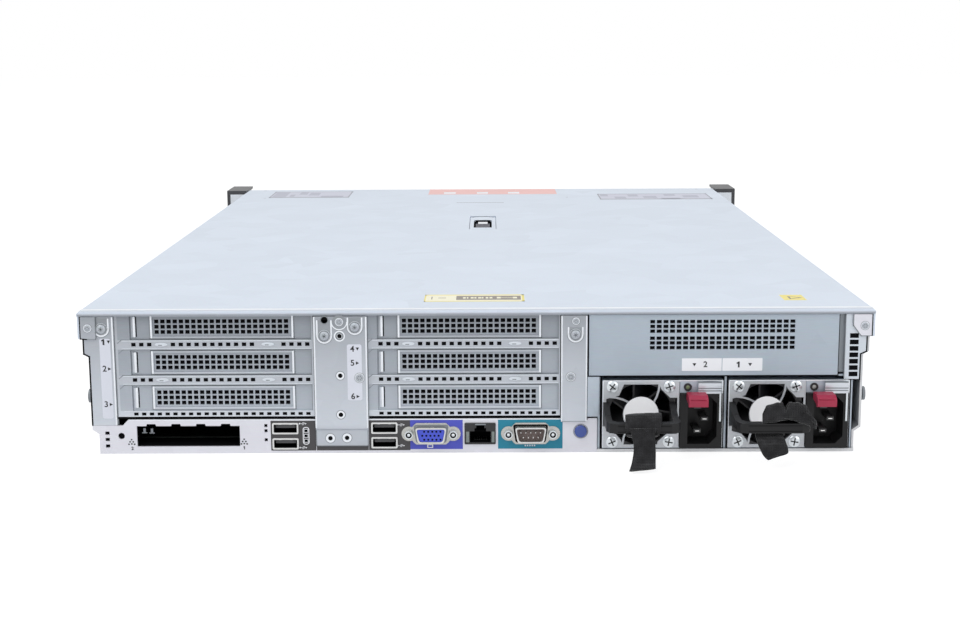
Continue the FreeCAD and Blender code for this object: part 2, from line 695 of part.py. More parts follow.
def hub_sketch_axis(body):
    """The sketch whose normal is the wheel's axis."""
    return next(o for o in body.Group if o.Label.startswith("hub") and o.TypeId.startswith("Sketcher"))


def psu_rotor(number):
    bore = 1.0 + size("pin_gap")
    body = fan_rotor(f"psu_{number}_rotor", 9.5, 16.9, 7, 8.0, 16, bore)
    psu_place(body, number, x="dims.psu_fan_x", y=1.2, z=fan_mid)


def psu_handle(number):
    """The moulded pull handle: a bar on two arms that widen towards the supply."""
    body = new_body(f"psu_{number}_handle")
    loop = sketch(body, "loop", "XY_Plane", fan_mid + 0.2 - 2.7)
    reach = size("handle_reach")
    polygon(loop, [
        (0.2, -1), (0.2, -reach + 6), (1.8, -reach + 1.6), (5.6, -reach), (35.4, -reach),
        (39.2, -reach + 1.6), (40.8, -reach + 6), (40.8, -1), (37.4, -1), (37.4, -reach + 8.4),
        (34.6, -reach + 5.4), (6.4, -reach + 5.4), (3.6, -reach + 8.4), (3.6, -1),
    ])
    pad(body, "loop_pad", loop, 5.4)
    middle = fan_mid + 0.2
    for name, left in (("left", 0.2), ("right", 37.4)):
        root = sketch(body, f"{name}_root", "YZ_Plane", left)
        polygon(root, [(-1, middle - 7), (-15, middle - 2.6), (-15, middle + 2.6), (-1, middle + 7)])
        pad(body, f"{name}_root_pad", root, 3.4)
    psu_place(body, number)


def psu_inlet(number):
    """The three-pin power inlet: flange, deep recess with two cut corners, and pins."""
    body = new_body(f"psu_{number}_inlet")
    flange = sketch(body, "flange", "XZ_Plane", -2)
    rectangle(flange, inlet_left, 0.3, 23.8, 31.4)
    pad(body, "flange_pad", flange, 2)
    block = sketch(body, "block", "XZ_Plane")
    rectangle(block, inlet_left + 0.6, 1.1, 22.2, 30.4)
    pad(body, "block_pad", block, 20)
    recess = sketch(body, "recess", "XZ_Plane", -2)
    polygon(recess, [
        (47.8, 2.7), (60.0, 2.7), (64.2, 6.9), (64.2, 26.2), (60.0, 30.4), (47.8, 30.4),
    ])
    pocket(body, "cut_recess", recess, 17)
    pins = sketch(body, "pins", "XZ_Plane", 1)
    for x, height in ((53.7, 23.5), (57.7, 16.5), (53.7, 9.5)):
        rectangle(pins, x - 2, height - 1, 4, 2)
    pad(body, "pin_pads", pins, 15)
    psu_place(body, number)


def psu_release(number):
    """The latch: a spring-steel strip with a hook, worked by a moulded thumb tab."""
    strip = [
        box(f"latch_front_{number}", (53.4, -3, 32.0), (12.9, 1, 6.0)),
        box(f"latch_strip_{number}", (65.3, -3, 33.2), (1.0, 36, 4.0)),
        box(f"latch_hook_{number}", (65.3, 24, 33.4), (3.0, 6, 3.6)),
        box(f"latch_edge_{number}", (65.3, -3, 16.0), (1.0, 0.8, 16.5)),
    ]
    psu_place(publish(fused(f"psu_{number}_latch", strip), f"psu_{number}_latch"), number)
    body = new_body(f"psu_{number}_release_tab")
    side = sketch(body, "side", "YZ_Plane", 46.8)
    polygon(side, [
        (-3, 33.0), (-12, 33.2), (-15, 32.1), (-16, 30.6), (-16, 27.4), (-13, 26.6), (-11, 28.2),
        (-3, 29.0),
    ])
    pad(body, "tab", side, 10.6)
    psu_place(body, number)


def psu_strap(number, ring_top, tail_width, tail_points):
    """A soft hook-and-loop strap wrapped round the handle's bar, as a plain closed solid."""
    body = new_body(f"psu_{number}_strap")
    wrap = sketch(body, "wrap", "YZ_Plane", 12)
    rectangle(wrap, -37.2, 14.4, 11.4, ring_top - 14.4)
    pad(body, "wrap_pad", wrap, 16)
    hollow = sketch(body, "hollow", "YZ_Plane", 12)
    rectangle(hollow, -34.5, 16.6, 6.4, 6.4)
    pocket(body, "cut_hollow", hollow)
    tail = sketch(body, "tail", "YZ_Plane", 20 - tail_width / 2)
    polygon(tail, tail_points)
    pad(body, "tail_pad", tail, tail_width)
    psu_place(body, number)


def power_supplies():
    hanging = [(-37.2, 16.0), (-39.6, 8.0), (-44.6, -0.6), (-46.6, -0.6), (-41.8, 8.4), (-38.4, 17.5),
               (-37.2, 17.5)]
    curled = [(-37.2, 16.0), (-39.4, 9.0), (-38.6, 3.4), (-41.2, 2.8), (-42.6, 9.0), (-40.2, 17.5),
              (-37.2, 17.5)]
    for number in (1, 2):
        psu_case(number)
        psu_fan_housing(number)
        psu_fan_guard(number)
        psu_rotor(number)
        psu_handle(number)
        psu_inlet(number)
        psu_release(number)
    psu_strap(1, 29.0, 15.0, curled)
    psu_strap(2, 25.4, 13.4, hanging)


# ---------------------------------------------------------------- inside
def system_board():
    """The main circuit board, cut away for the supplies, on standoffs from the floor."""
    body = new_body("system_board")
    outline = sketch(body, "outline", "XY_Plane", board_top - 1.6)
    polygon(outline, [(-205, -307), (62, -307), (62, -118), (205, -118), (205, 84), (-205, 84)])
    pad(body, "laminate", outline, 1.6)
    feet = sketch(body, "standoffs", "XY_Plane", "dims.wall")
    for x in (-190, -60, 55):
        for y in (-295, -130, 75):
            polygon(feet, ring_points(6, 3.2, x, y))
    pad(body, "standoff_pads", feet, board_top - 1.6 - wall)


def heatsink():
    """One processor heat sink: base and a row of fins that the air passes along."""
    body = doc.addObject("PartDesign::Body", "heatsink")
    base = sketch(body, "base", "XY_Plane", board_top)
    rectangle(base, -135, -70, 80, 100)
    pad(body, "base_pad", base, 8)
    fin = sketch(body, "fin", "XY_Plane", board_top + 8)
    rectangle(fin, -135, -70, 1.0, 100)
    first = pad(body, "fin_pad", fin, 46)
    row_of(body, "fins", first, fin, "H_Axis", 14, "79 / 13")
    return body


def memory_modules():
    """Upright memory modules in four banks of six beside the processors."""
    modules = []
    for bank, left in enumerate((-192, -50, 12, 154)):
        for i in range(6):
            modules.append(box(f"module_{bank}_{i}", (left + i * 7.6, -72, board_top), (2.2, 133, 31)))
    grouped("memory_modules", modules)


def fan_cage():
    """The fan row's frame: round ducts, a strut across and a shaft for each wheel."""
    body = new_body("fan_cage")
    outline = sketch(body, "outline", "XZ_Plane", 90)
    rectangle(outline, -210, "dims.wall", 420, 68.6)
    pad(body, "block", outline, 38)
    first_x = "-(dims.system_fan_count - 1) / 2 * dims.system_fan_pitch"
    duct = sketch(body, "duct", "XZ_Plane", 90)
    start = -(size("system_fan_count") - 1) / 2 * size("system_fan_pitch")
    polygon(duct, ring_points(24, size("system_fan_bore"), start, size("system_fan_height")))
    cut = pocket(body, "cut_duct", duct)
    row_of(body, "ducts", cut, duct, "H_Axis", "dims.system_fan_count", "dims.system_fan_pitch")
    strut = sketch(body, "strut", "XZ_Plane", 124)
    rectangle(strut, f"{first_x} - 31", "dims.system_fan_height - 3", "-2 * (" + first_x + ") + 62", 6)
    pad(body, "strut_pad", strut, 4)
    shaft = sketch(body, "shaft", "XZ_Plane", 100)
    circle(shaft, start, size("system_fan_height"), 2.0)
    first = pad(body, "shaft_pad", shaft, 24.5)
    row_of(body, "shafts", first, shaft, "H_Axis", "dims.system_fan_count", "dims.system_fan_pitch")


def system_fans():
    count = int(size("system_fan_count"))
    for i in range(count):
        bore = 2.0 + size("pin_gap")
        body = fan_rotor(f"fan_rotor_{i + 1}", 14, 27.7, 5, 16, 26, bore)
        body.setExpression(".Placement.Base.x", f"({i} - (dims.system_fan_count - 1) / 2)"
                                                " * dims.system_fan_pitch")
        body.Placement.Base.y = 96
        body.setExpression(".Placement.Base.z", "dims.system_fan_height")


# ---------------------------------------------------------------- drive bays and front
bay_left = -208.0         # the first bay's left side
bay_low = 3.4
bay_high = 74.6


def front_frame():
    """The front wall, with the drive-bay mouth, two box mouths and the button hole."""
    body = new_body("front_frame")
    outline = sketch(body, "outline", "XZ_Plane", f"{FRONT} - dims.wall")
    polygon(outline, mirrored([
        (foot_x, 0), (foot_x, 11.5), (side_x, 14.0), (side_x, 56.0), (shoulder_x, 57.6),
        (shoulder_x, deck_z),
    ]))
    pad(body, "plate", outline, "dims.wall")
    mouths = sketch(body, "mouths", "XZ_Plane", FRONT)
    rectangle(mouths, bay_left, bay_low, "dims.bay_count * dims.bay_pitch", bay_high)
    for left in (-64, 74):
        rectangle(mouths, left, bay_low, 132, bay_high)
    circle(mouths, -70, 60, 3.1)
    pocket(body, "cut_mouths", mouths)


def front_fillers():
    """Two box fillers that close the bays without drives: a framed, louvred face and a rim."""
    made = []
    for name, left in (("left", -64), ("right", 74)):
        body = doc.addObject("PartDesign::Body", f"{name}_filler")
        face = sketch(body, "face", "XZ_Plane", f"{FRONT} - dims.wall")
        rectangle(face, left + 0.2, bay_low + 0.2, 131.6, bay_high - 0.4)
        pad(body, "face_pad", face, 4)
        louvre = sketch(body, "louvre", "XZ_Plane", FRONT)
        rectangle(louvre, left + 8, bay_low + 6, 116, 3)
        cut = pocket(body, "cut_louvre", louvre)
        row_of(body, "louvres", cut, louvre, "V_Axis", 10, 6.6)
        made.append(body)
    grouped("front_fillers", made)


def drive_cage():
    """The cage of eight bays: one frame with a cell for each carrier."""
    body = new_body("drive_cage")
    outline = sketch(body, "outline", "XZ_Plane", 192)
    rectangle(outline, bay_left - 1, "dims.wall", "dims.bay_count * dims.bay_pitch + 2", 78.5)
    pad(body, "block", outline, f"{FRONT} - dims.wall - 192")
    cell = sketch(body, "cell", "XZ_Plane", FRONT)
    rectangle(cell, bay_left + 0.4, bay_low + 0.2, "dims.bay_pitch - 0.8", bay_high - 0.4)
    cut = pocket(body, "cut_cell", cell)
    row_of(body, "cells", cut, cell, "H_Axis", "dims.bay_count", "dims.bay_pitch")


def drive_pieces():
    """One carrier with its ejector lever in the first bay, and blanks in the others."""
    cell = bay_left + 0.7
    width = "dims.bay_pitch - 1.4"
    body = new_body("drive_carrier")
    tray = sketch(body, "tray", "XZ_Plane", 194)
    rectangle(tray, cell, bay_low + 0.5, width, bay_high - 1.0)
    pad(body, "tray_pad", tray, "dims.body_depth / 2 + 8 - 194")
    well = sketch(body, "lever_well", "XZ_Plane", f"{FRONT} + 1")
    rectangle(well, cell + 2.2, bay_low + 2.5, "dims.bay_pitch - 5.8", bay_high - 12)
    pocket(body, "cut_lever_well", well, 7)
    pin = sketch(body, "pin", "YZ_Plane", cell + 2)
    circle(pin, front + 4.6, bay_low + 6.0, 1.0)
    pad(body, "pin_pad", pin, "dims.bay_pitch - 5.4")
    lever = new_body("drive_lever")
    side = sketch(lever, "side", "YZ_Plane", cell + 2.6)
    top = bay_low + bay_high - 11
    polygon(side, [
        (front + 2.2, bay_low + 4.0), (front + 7.0, bay_low + 4.0), (front + 9.6, bay_low + 8.0),
        (front + 10.6, top - 6), (front + 9.0, top), (front + 5.0, top), (front + 2.2, top - 8),
    ])
    pad(lever, "arm", side, "dims.bay_pitch - 6.6")
    hole = sketch(lever, "pin_hole", "YZ_Plane", cell)
    circle(hole, front + 4.6, bay_low + 6.0, "1 + dims.pin_gap")
    pocket(lever, "cut_pin_hole", hole)
    blanks = []
    for i in range(1, int(size("bay_count"))):
        left = f"{cell} + {i} * dims.bay_pitch"
        blanks.append(box(f"bay_blank_{i}", (left, f"{FRONT} - 40", bay_low + 0.5),
                          (width, 47, bay_high - 1.0)))
    grouped("bay_blanks", blanks)


# ---------------------------------------------------------------- rack ears
ear_y = front - 16        # rack face of the ears
hinge_x = 228.5
hinge_y = front + 22.5


def ear(side):
    """A rack ear: flange with the rack screw's hole, and the walls that carry the lever."""
    name = "right" if side > 0 else "left"
    body = new_body(f"ear_{name}")
    half_span = size("ear_span") / 2
    top = size("ear_height")
    flange = sketch(body, "flange", "XZ_Plane", ear_y)
    polygon(flange, [(side * x, z) for x, z in (
        (side_x, 0), (half_span, 0), (half_span, top), (223.0, top), (223.0, 55), (side_x, 55),
    )])
    pad(body, "flange_pad", flange, 3)
    walls = sketch(body, "walls", "XZ_Plane", ear_y + 3)
    for low in (0, top - 2):
        left = min(side * 223.0, side * half_span)
        rectangle(walls, left, low, half_span - 223.0, 2)
    pad(body, "walls_pad", walls, 40)
    web = sketch(body, "web", "XZ_Plane", ear_y + 3)
    rectangle(web, min(side * 223.0, side * 224.6), 1, 1.6, top - 2)
    pad(body, "web_pad", web, 30)
    hole = sketch(body, "rack_hole", "XZ_Plane", ear_y)
    circle(hole, side * size("rack_pitch") / 2, 38.1, 3.4)
    pocket(body, "cut_rack_hole", hole, 4)
    socket = sketch(body, "pivot_socket", "XY_Plane", 1.0)
    circle(socket, side * hinge_x, hinge_y, "1.5 + dims.pin_gap")
    pocket(body, "cut_pivot_sockets", socket, top - 2)


def ear_lever(side):
    """The quick-release lever that closes the ear, on two stub pivots."""
    name = "right" if side > 0 else "left"
    body = new_body(f"ear_lever_{name}")
    top = size("ear_height")
    edge = size("ear_span") / 2
    nose = ear_y + size("ear_depth")
    section = sketch(body, "section", "XY_Plane", 2.3)
    polygon(section, [(side * x, y) for x, y in (
        (225.4, hinge_y - 2.4), (230.9, hinge_y - 2.4), (230.9, nose - 2.6), (edge - 2, nose - 2.6),
        (edge - 2, ear_y + 8), (edge, ear_y + 8), (edge, nose - 3), (edge - 3, nose), (227.4, nose),
        (225.4, nose - 2),
    )])
    pad(body, "cover", section, top - 4.6)
    pivot = sketch(body, "pivot", "XY_Plane", 1.2)
    circle(pivot, side * hinge_x, hinge_y, 1.5)
    pad(body, "pivot_pad", pivot, top - 2.4)


# ---------------------------------------------------------------- hood
tray_left, tray_right = -8.8, 14.4
tray_rear, tray_front = 26.0, 111.0
tray_floor = 70.4
latch_y, latch_z = 100.0, 77.5


def hood():
    """The sliding hood: top, side flanges and rear lip, with the latch's tray and pin."""
    body = new_body("hood")
    half = size("hood_width") / 2
    top = size("body_height")
    section = sketch(body, "section", "XZ_Plane", REAR)
    polygon(section, mirrored([
        (half - 1.2, top), (half, top - 1.2), (half, 66.4), (half - wall, 66.4),
        (half - wall, top - wall),
    ])[::-1])
    pad(body, "folded_sheet", section, "dims.body_depth")
    lip = sketch(body, "rear_lip", "XZ_Plane", f"{REAR} - dims.wall")
    polygon(lip, mirrored([(half, 79.4), (half, top - 1.2), (half - 1.2, top)]))
    pad(body, "rear_lip_pad", lip, "dims.wall")
    relief = sketch(body, "ear_relief", "XZ_Plane", FRONT)
    for left in (-half - 1, half - wall - 0.05):
        rectangle(relief, left, 60, wall + 1.05, 20.5)
    pocket(body, "cut_ear_relief", relief, 17, forward=False)
    tray = sketch(body, "tray", "XY_Plane", tray_floor)
    rectangle(tray, tray_left, tray_rear, tray_right - tray_left, tray_front - tray_rear)
    pad(body, "tray_pad", tray, top - wall - tray_floor + 0.2)
    well = sketch(body, "well", "XY_Plane", tray_floor + thin)
    rectangle(well, tray_left + 1, tray_rear + 1, tray_right - tray_left - 2, tray_front - tray_rear - 2)
    pocket(body, "cut_well", well, 20)
    pin = sketch(body, "pin", "YZ_Plane", tray_left + 0.5)
    circle(pin, latch_y, latch_z, 1.5)
    pad(body, "pin_pad", pin, tray_right - tray_left - 1)


def hood_latch():
    """The hood's lever: a long plate with a rounded nose and a finger opening, on two eyes."""
    body = new_body("hood_latch")
    left, right = tray_left + 1.4, tray_right - 1.4
    middle = (left + right) / 2
    top = size("body_height")
    plate = sketch(body, "plate", "XY_Plane", top - 1.6)
    nose = [
        (middle + (right - middle) * math.cos(math.radians(angle)),
         latch_y - 1.6 + 9.0 * math.sin(math.radians(angle)))
        for angle in range(0, 181, 20)
    ]
    polygon(plate, [(left, tray_rear + 1.6), (right, tray_rear + 1.6)] + nose)
    pad(body, "plate_pad", plate, 1.6)
    finger = sketch(body, "finger", "XY_Plane", top)
    rectangle(finger, middle - 7.1, 36, 14.2, 48)
    pocket(body, "cut_finger", finger)
    for name, start in (("left", left + 0.4), ("right", right - 3.4)):
        eye = sketch(body, f"{name}_eye", "YZ_Plane", start)
        polygon(eye, [
            (latch_y - 5, top - 1), (latch_y - 3.2, latch_z - 2.4), (latch_y, latch_z - 3.4),
            (latch_y + 3.2, latch_z - 2.4), (latch_y + 5, top - 1),
        ])
        pad(body, f"{name}_eye_pad", eye, 3)
    bore = sketch(body, "pin_bore", "YZ_Plane", left)
    circle(bore, latch_y, latch_z, "1.5 + dims.pin_gap")
    pocket(body, "cut_pin_bore", bore)


# ---------------------------------------------------------------- build and write
def build():
    chassis_pan()
    rear_panel()
    left_upright()
    corner_flange()
    centre_bracket()
    divider_bracket()
    vent_panel()
    psu_bay()
    rear_fasteners()
    rail_studs()
    for number in (1, 2):
        riser_cage(number)
    riser_cards()
    slot_blanks()
    usb_ports()
    d_socket("video_port", -25.5, 4.2, filled=True)
    d_socket("serial_port", 30.7, 4.2, filled=False)
    network_port()
    push_button("id_button", 59.0, 12.3, rear, 1, 3.43, 4.4)
    power_supplies()
    system_board()
    sink = heatsink()
    copies("heatsinks", sink, [(0, 0, 0), (190, 0, 0)])
    memory_modules()
    fan_cage()
    system_fans()
    front_frame()
    front_fillers()
    drive_cage()
    drive_pieces()
    push_button("power_button", -70.0, 60.0, front, -1, 3.03, 4.0)
    for side in (-1, 1):
        ear(side)
        ear_lever(side)
    hood()
    hood_latch()


def check():
    """Stops on any failed object, empty cut or bad sub-part."""
    doc.recompute()
    for obj in doc.Objects:
        if "Invalid" in obj.State or "Error" in obj.State:
            raise RuntimeError(f"{obj.Label} failed: {obj.State}")
        if obj.TypeId == "PartDesign::Pocket":
            removed = obj.BaseFeature.Shape.Volume - obj.Shape.Volume
            if removed < 0.1:
                raise RuntimeError(f"{obj.Label} cuts nothing")
    for obj in parts:
        if obj.Shape.isNull() or not obj.Shape.isValid():
            raise RuntimeError(f"{obj.Label} has no valid shape")
        if not obj.Shape.Solids:
            raise RuntimeError(f"{obj.Label} has no solid")


def write():
    os.makedirs("parts", exist_ok=True)
    for obj in parts:
        obj.Shape.exportStep(f"parts/{obj.Label}.step")
    print(f"{len(parts)} sub-parts")


build()
check()
write()
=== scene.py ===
import json
import math

import bmesh
import bpy
from mathutils import Matrix, Vector, noise


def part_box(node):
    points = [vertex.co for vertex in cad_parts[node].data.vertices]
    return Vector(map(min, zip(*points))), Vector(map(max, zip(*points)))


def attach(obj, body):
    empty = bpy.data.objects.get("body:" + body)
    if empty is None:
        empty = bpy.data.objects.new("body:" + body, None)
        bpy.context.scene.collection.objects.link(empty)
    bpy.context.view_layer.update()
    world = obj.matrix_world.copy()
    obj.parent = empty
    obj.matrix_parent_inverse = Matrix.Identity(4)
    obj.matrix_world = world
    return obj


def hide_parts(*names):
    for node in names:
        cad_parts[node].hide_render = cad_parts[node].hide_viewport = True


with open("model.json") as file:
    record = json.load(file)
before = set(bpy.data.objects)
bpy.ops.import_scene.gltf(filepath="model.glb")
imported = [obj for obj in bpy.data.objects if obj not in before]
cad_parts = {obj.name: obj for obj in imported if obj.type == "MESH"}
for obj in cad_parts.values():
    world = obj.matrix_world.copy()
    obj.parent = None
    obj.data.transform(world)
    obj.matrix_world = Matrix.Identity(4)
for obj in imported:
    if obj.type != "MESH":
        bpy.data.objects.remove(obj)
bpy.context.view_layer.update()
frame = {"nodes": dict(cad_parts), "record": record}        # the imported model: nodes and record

nodes = frame["nodes"]
MM = 0.001               # the shapes below are written in millimetres
CHASSIS = "chassis"


def low(node_name):
    return Vector(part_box(node_name)[0]) / MM


def high(node_name):
    return Vector(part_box(node_name)[1]) / MM


def middle_of(node_name):
    return (low(node_name) + high(node_name)) / 2


def new_object(name, data):
    made = bpy.data.objects.new(name, data)
    bpy.context.scene.collection.objects.link(made)
    return made


# ------------------------------------------------------------------ materials
def new_material(name):
    made = bpy.data.materials.new(name)
    made.use_nodes = True
    tree = made.node_tree
    tree.nodes.clear()
    out = tree.nodes.new("ShaderNodeOutputMaterial")
    shader = tree.nodes.new("ShaderNodeBsdfPrincipled")
    tree.links.new(shader.outputs["BSDF"], out.inputs["Surface"])
    return made, tree, shader


def fill(tree, made, inputs):
    """Links or sets the inputs of a node."""
    for key, value in inputs.items():
        if isinstance(value, bpy.types.NodeSocket):
            tree.links.new(value, made.inputs[key])
        else:
            made.inputs[key].default_value = value
    return made


def node(tree, kind, inputs, **settings):
    made = tree.nodes.new("ShaderNode" + kind)
    for key, value in settings.items():
        setattr(made, key, value)
    return fill(tree, made, inputs)


def axes(tree):
    """The X, Y and Z of the object coordinates, in metres."""
    coords = node(tree, "TexCoord", {}).outputs["Object"]
    return node(tree, "SeparateXYZ", {"Vector": coords}).outputs


def place(tree, stretch=(1, 1, 1)):
    """Object coordinates in metres, stretched for a grain."""
    coords = node(tree, "TexCoord", {}).outputs["Object"]
    return node(tree, "Mapping", {"Vector": coords, "Scale": stretch}).outputs["Vector"]


def clouds(tree, scale, detail, stretch=(1, 1, 1)):
    inputs = {"Vector": place(tree, stretch), "Scale": scale, "Detail": detail}
    return node(tree, "TexNoise", inputs).outputs


def maths(tree, operation, *values):
    return node(tree, "Math", dict(enumerate(values)), operation=operation).outputs["Value"]


def mixed(tree, factor, first, second, blend="MIX"):
    inputs = {"Factor": factor, 6: first, 7: second}
    return node(tree, "Mix", inputs, data_type="RGBA", blend_type=blend).outputs[2]


def ramp(tree, value, *stops):
    made = node(tree, "ValToRGB", {"Fac": value})
    elements = made.color_ramp.elements
    while len(elements) < len(stops):
        elements.new(0.5)
    for element, (at, colour) in zip(elements, stops):
        element.position = at
        element.color = (*colour, 1)
    return made.outputs["Color"]


def shade(colour, factor):
    return tuple(min(1.0, c * factor) for c in colour)


def around(tree, value, base, spread):
    """A value brought to a range round a base, for the roughness."""
    inputs = {"Value": value, "To Min": base - spread, "To Max": base + spread}
    return node(tree, "MapRange", inputs).outputs["Result"]


def bumps(tree, height, strength, distance):
    inputs = {"Height": height, "Strength": strength, "Distance": distance}
    return node(tree, "Bump", inputs).outputs["Normal"]


def by_place(tree, axis, stops):
    """A grey level that follows one coordinate: stops of (millimetres, level)."""
    start, end = stops[0][0], stops[-1][0]
    inputs = {"Value": axes(tree)[axis], "From Min": start * MM, "From Max": end * MM}
    span = node(tree, "MapRange", inputs).outputs["Result"]
    return ramp(tree, span, *(((at - start) / (end - start), (level,) * 3) for at, level in stops))


def with_painted_shade(tree, tint, painted_shade):
    """Multiplies a tint by levels that follow the height or the depth, as painted shade."""
    for axis, stops in (painted_shade or {}).items():
        tint = mixed(tree, 1, tint, by_place(tree, axis, stops), "MULTIPLY")
    return tint


def sheet_metal(name, colour, metallic=0.45, rough=0.42, grain=(60, 60, 900), spangle=90,
                painted_shade=None):
    """Rolled zinc-coated sheet: soft spangle, fine rolling grain and faint handling marks, with painted shade by
    height and depth where given.
    """
    made, tree, shader = new_material(name)
    flakes = node(tree, "TexVoronoi", {"Vector": place(tree), "Scale": spangle}).outputs["Color"]
    streaks = clouds(tree, 3, 6, grain)
    both = maths(tree, "MULTIPLY_ADD", flakes, clouds(tree, 14, 3)["Fac"], 0.15)
    tint = ramp(tree, both, (0.1, shade(colour, 0.955)), (0.75, shade(colour, 1.03)))
    tint = mixed(tree, 0.1, tint, streaks["Color"], "OVERLAY")
    fill(tree, shader, {"Base Color": with_painted_shade(tree, tint, painted_shade), "Metallic": metallic,
                        "Roughness": around(tree, streaks["Fac"], rough, 0.07),
                        "Normal": bumps(tree, streaks["Fac"], 0.06, 0.0004)})
    return made


def painted(name, colour, rough=0.4, texture=1400, depth=0.08, dust=0.06, gloss=0.5):
    """Powder coat or moulded plastic: fine orange peel, cloudy tone and a little dust."""
    made, tree, shader = new_material(name)
    cloud = clouds(tree, 22, 5)["Fac"]
    tint = ramp(tree, cloud, (0.3, shade(colour, 1 - dust)), (0.7, shade(colour, 1 + dust)))
    fill(tree, shader, {"Base Color": tint, "Metallic": 0, "Specular IOR Level": gloss,
                        "Roughness": around(tree, cloud, rough, 0.06),
                        "Normal": bumps(tree, clouds(tree, texture, 2)["Fac"], depth, 0.0002)})
    return made


def printed(name, colour):
    """Printed film: near-flat colour with a faint mottle."""
    return painted(name, colour, rough=0.5, texture=900, depth=0.03, dust=0.025)


def fabric(name, colour, ribs=1500):
    """Woven loop tape: crossed threads with a fuzzy sheen and worn tips."""
    made, tree, shader = new_material(name)
    inputs = {"Vector": place(tree), "Scale": ribs / 6.3, "Distortion": 2, "Detail": 2}
    threads = [node(tree, "TexWave", inputs, bands_direction=way).outputs["Fac"] for way in "XZ"]
    tint = ramp(tree, clouds(tree, 260, 6)["Fac"], (0.35, shade(colour, 0.7)),
                (0.62, shade(colour, 1.5)), (0.8, shade(colour, 3.2)))
    fill(tree, shader, {"Base Color": tint, "Specular IOR Level": 0.2, "Roughness": 0.92,
                        "Sheen Weight": 0.35, "Sheen Roughness": 0.5,
                        "Normal": bumps(tree, maths(tree, "MAXIMUM", *threads), 0.6, 0.0004)})
    return made


def circuit_board(name, colour):
    """Green laminate with fine copper runs and pads, in less light further inside."""
    made, tree, shader = new_material(name)
    runs = node(tree, "TexBrick", {"Vector": place(tree), "Scale": 160, "Mortar Size": 0.03,
                                   "Color1": (*colour, 1), "Color2": (*shade(colour, 1.25), 1),
                                   "Mortar": (*shade(colour, 2.2), 1)}).outputs
    # Painted shade: the board darkens further inside the case.
    deep = {"Y": ((-310, 0.03), (-200, 0.03), (-80, 0.4))}
    fill(tree, shader, {"Base Color": with_painted_shade(tree, runs["Color"], deep),
                        "Roughness": around(tree, runs["Fac"], 0.4, 0.08),
                        "Normal": bumps(tree, runs["Fac"], 0.2, 0.0002)})
    return made


def ear_finish():
    """Black moulding with a bare steel flange face where it meets the rack."""
    made, tree, shader = new_material("ear_plastic")
    cloud = clouds(tree, 30, 5)["Fac"]
    black = ramp(tree, cloud, (0.3, (0.028, 0.029, 0.032)), (0.7, (0.042, 0.043, 0.048)))
    steel = ramp(tree, cloud, (0.3, (0.62, 0.65, 0.69)), (0.7, (0.70, 0.73, 0.77)))
    at = axes(tree)
    mask = 1
    for value, limit in ((maths(tree, "ABSOLUTE", at["X"]), 238.2), (at["Z"], 79.5),
                         (at["Y"], 309.6)):
        mask = maths(tree, "MULTIPLY", mask, maths(tree, "LESS_THAN", value, limit * MM))
    fill(tree, shader, {"Base Color": mixed(tree, mask, black, steel),
                        "Metallic": maths(tree, "MULTIPLY", mask, 0.4),
                        "Roughness": around(tree, cloud, 0.42, 0.06),
                        "Normal": bumps(tree, clouds(tree, 1400, 2)["Fac"], 0.08, 0.0002)})
    return made


# Painted shade: levels by height and depth in millimetres, darkening sheets under the hood's lip, low down, and
# inward past the rear face.
SHADE_UNDER_HOOD = {"Z": ((4, 0.82), (13.5, 0.84), (17, 1), (32, 0.93), (50, 0.84), (72, 0.66),
                    (80, 0.56))}
SHADE_INWARD = ((-322.6, 1), (-321.4, 0.04))
SUNK_SHADE = {"Z": ((22, 0.92), (32, 0.85), (53, 0.74), (73, 0.62), (80, 0.50)), "Y": SHADE_INWARD}
STRIP_SHADE = {"Z": ((21, 1), (28, 0.9), (43, 0.80), (63, 0.76), (80, 0.55)), "Y": SHADE_INWARD}
ZINC = sheet_metal("zinc", (0.47, 0.53, 0.60))
# These sheets carry painted shade: the upright and brackets, sunk blanks, strips, the pan and the corner flange
# darken by the levels given.
UPRIGHT = sheet_metal("upright_zinc", (0.575, 0.61, 0.665), painted_shade=SHADE_UNDER_HOOD)
SUNK = sheet_metal("sunk_zinc", (0.475, 0.515, 0.57), painted_shade=SUNK_SHADE)
# Painted shade: a darker copy of the upright's zinc for the floors inside the pressed rings.
PRESSING_SHADE = sheet_metal("pressed_floor_shade", (0.47, 0.50, 0.54), painted_shade=SHADE_UNDER_HOOD)
RIM_STEEL = sheet_metal("rim_steel", (0.72, 0.72, 0.71), 0.3, 0.4)
PAN = sheet_metal("pan_zinc", (0.84, 0.85, 0.87), rough=0.5,
                  painted_shade={"Y": ((-328, 1), (-322, 0.62))})
STRIP = sheet_metal("strip_zinc", (0.60, 0.635, 0.69), painted_shade=STRIP_SHADE)
# A lighter zinc: painted highlight along the strips' edges and on the lanced tongues, and the steel tone of the
# supply latches' ribs.
RIDGE = sheet_metal("ridge_zinc", (0.66, 0.70, 0.75), 0.35, 0.4)
FLANGE = sheet_metal("flange_zinc", (0.60, 0.645, 0.70), painted_shade={"Y": ((-324, 1), (-323, 0.45))})
GUARD = sheet_metal("guard_zinc", (0.50, 0.52, 0.55), 0.5, 0.36)
BAND = sheet_metal("band_zinc", (0.71, 0.71, 0.765), rough=0.48)
VENT = sheet_metal("vent_zinc", (0.42, 0.48, 0.545), 0.3, spangle=60)
HOOD = sheet_metal("hood_zinc", (0.655, 0.72, 0.81), 0.25, 0.45, (500, 40, 40), 45)
# Painted shade: a darker copy of the hood's zinc for its rear lip, darkest at the bottom.
LIP_SHADE = sheet_metal("lip_painted_shade", (0.57, 0.61, 0.68), 0.25, 0.45,
                        painted_shade={"Z": ((79.4, 0.52), (80.2, 0.62), (80.7, 1))})
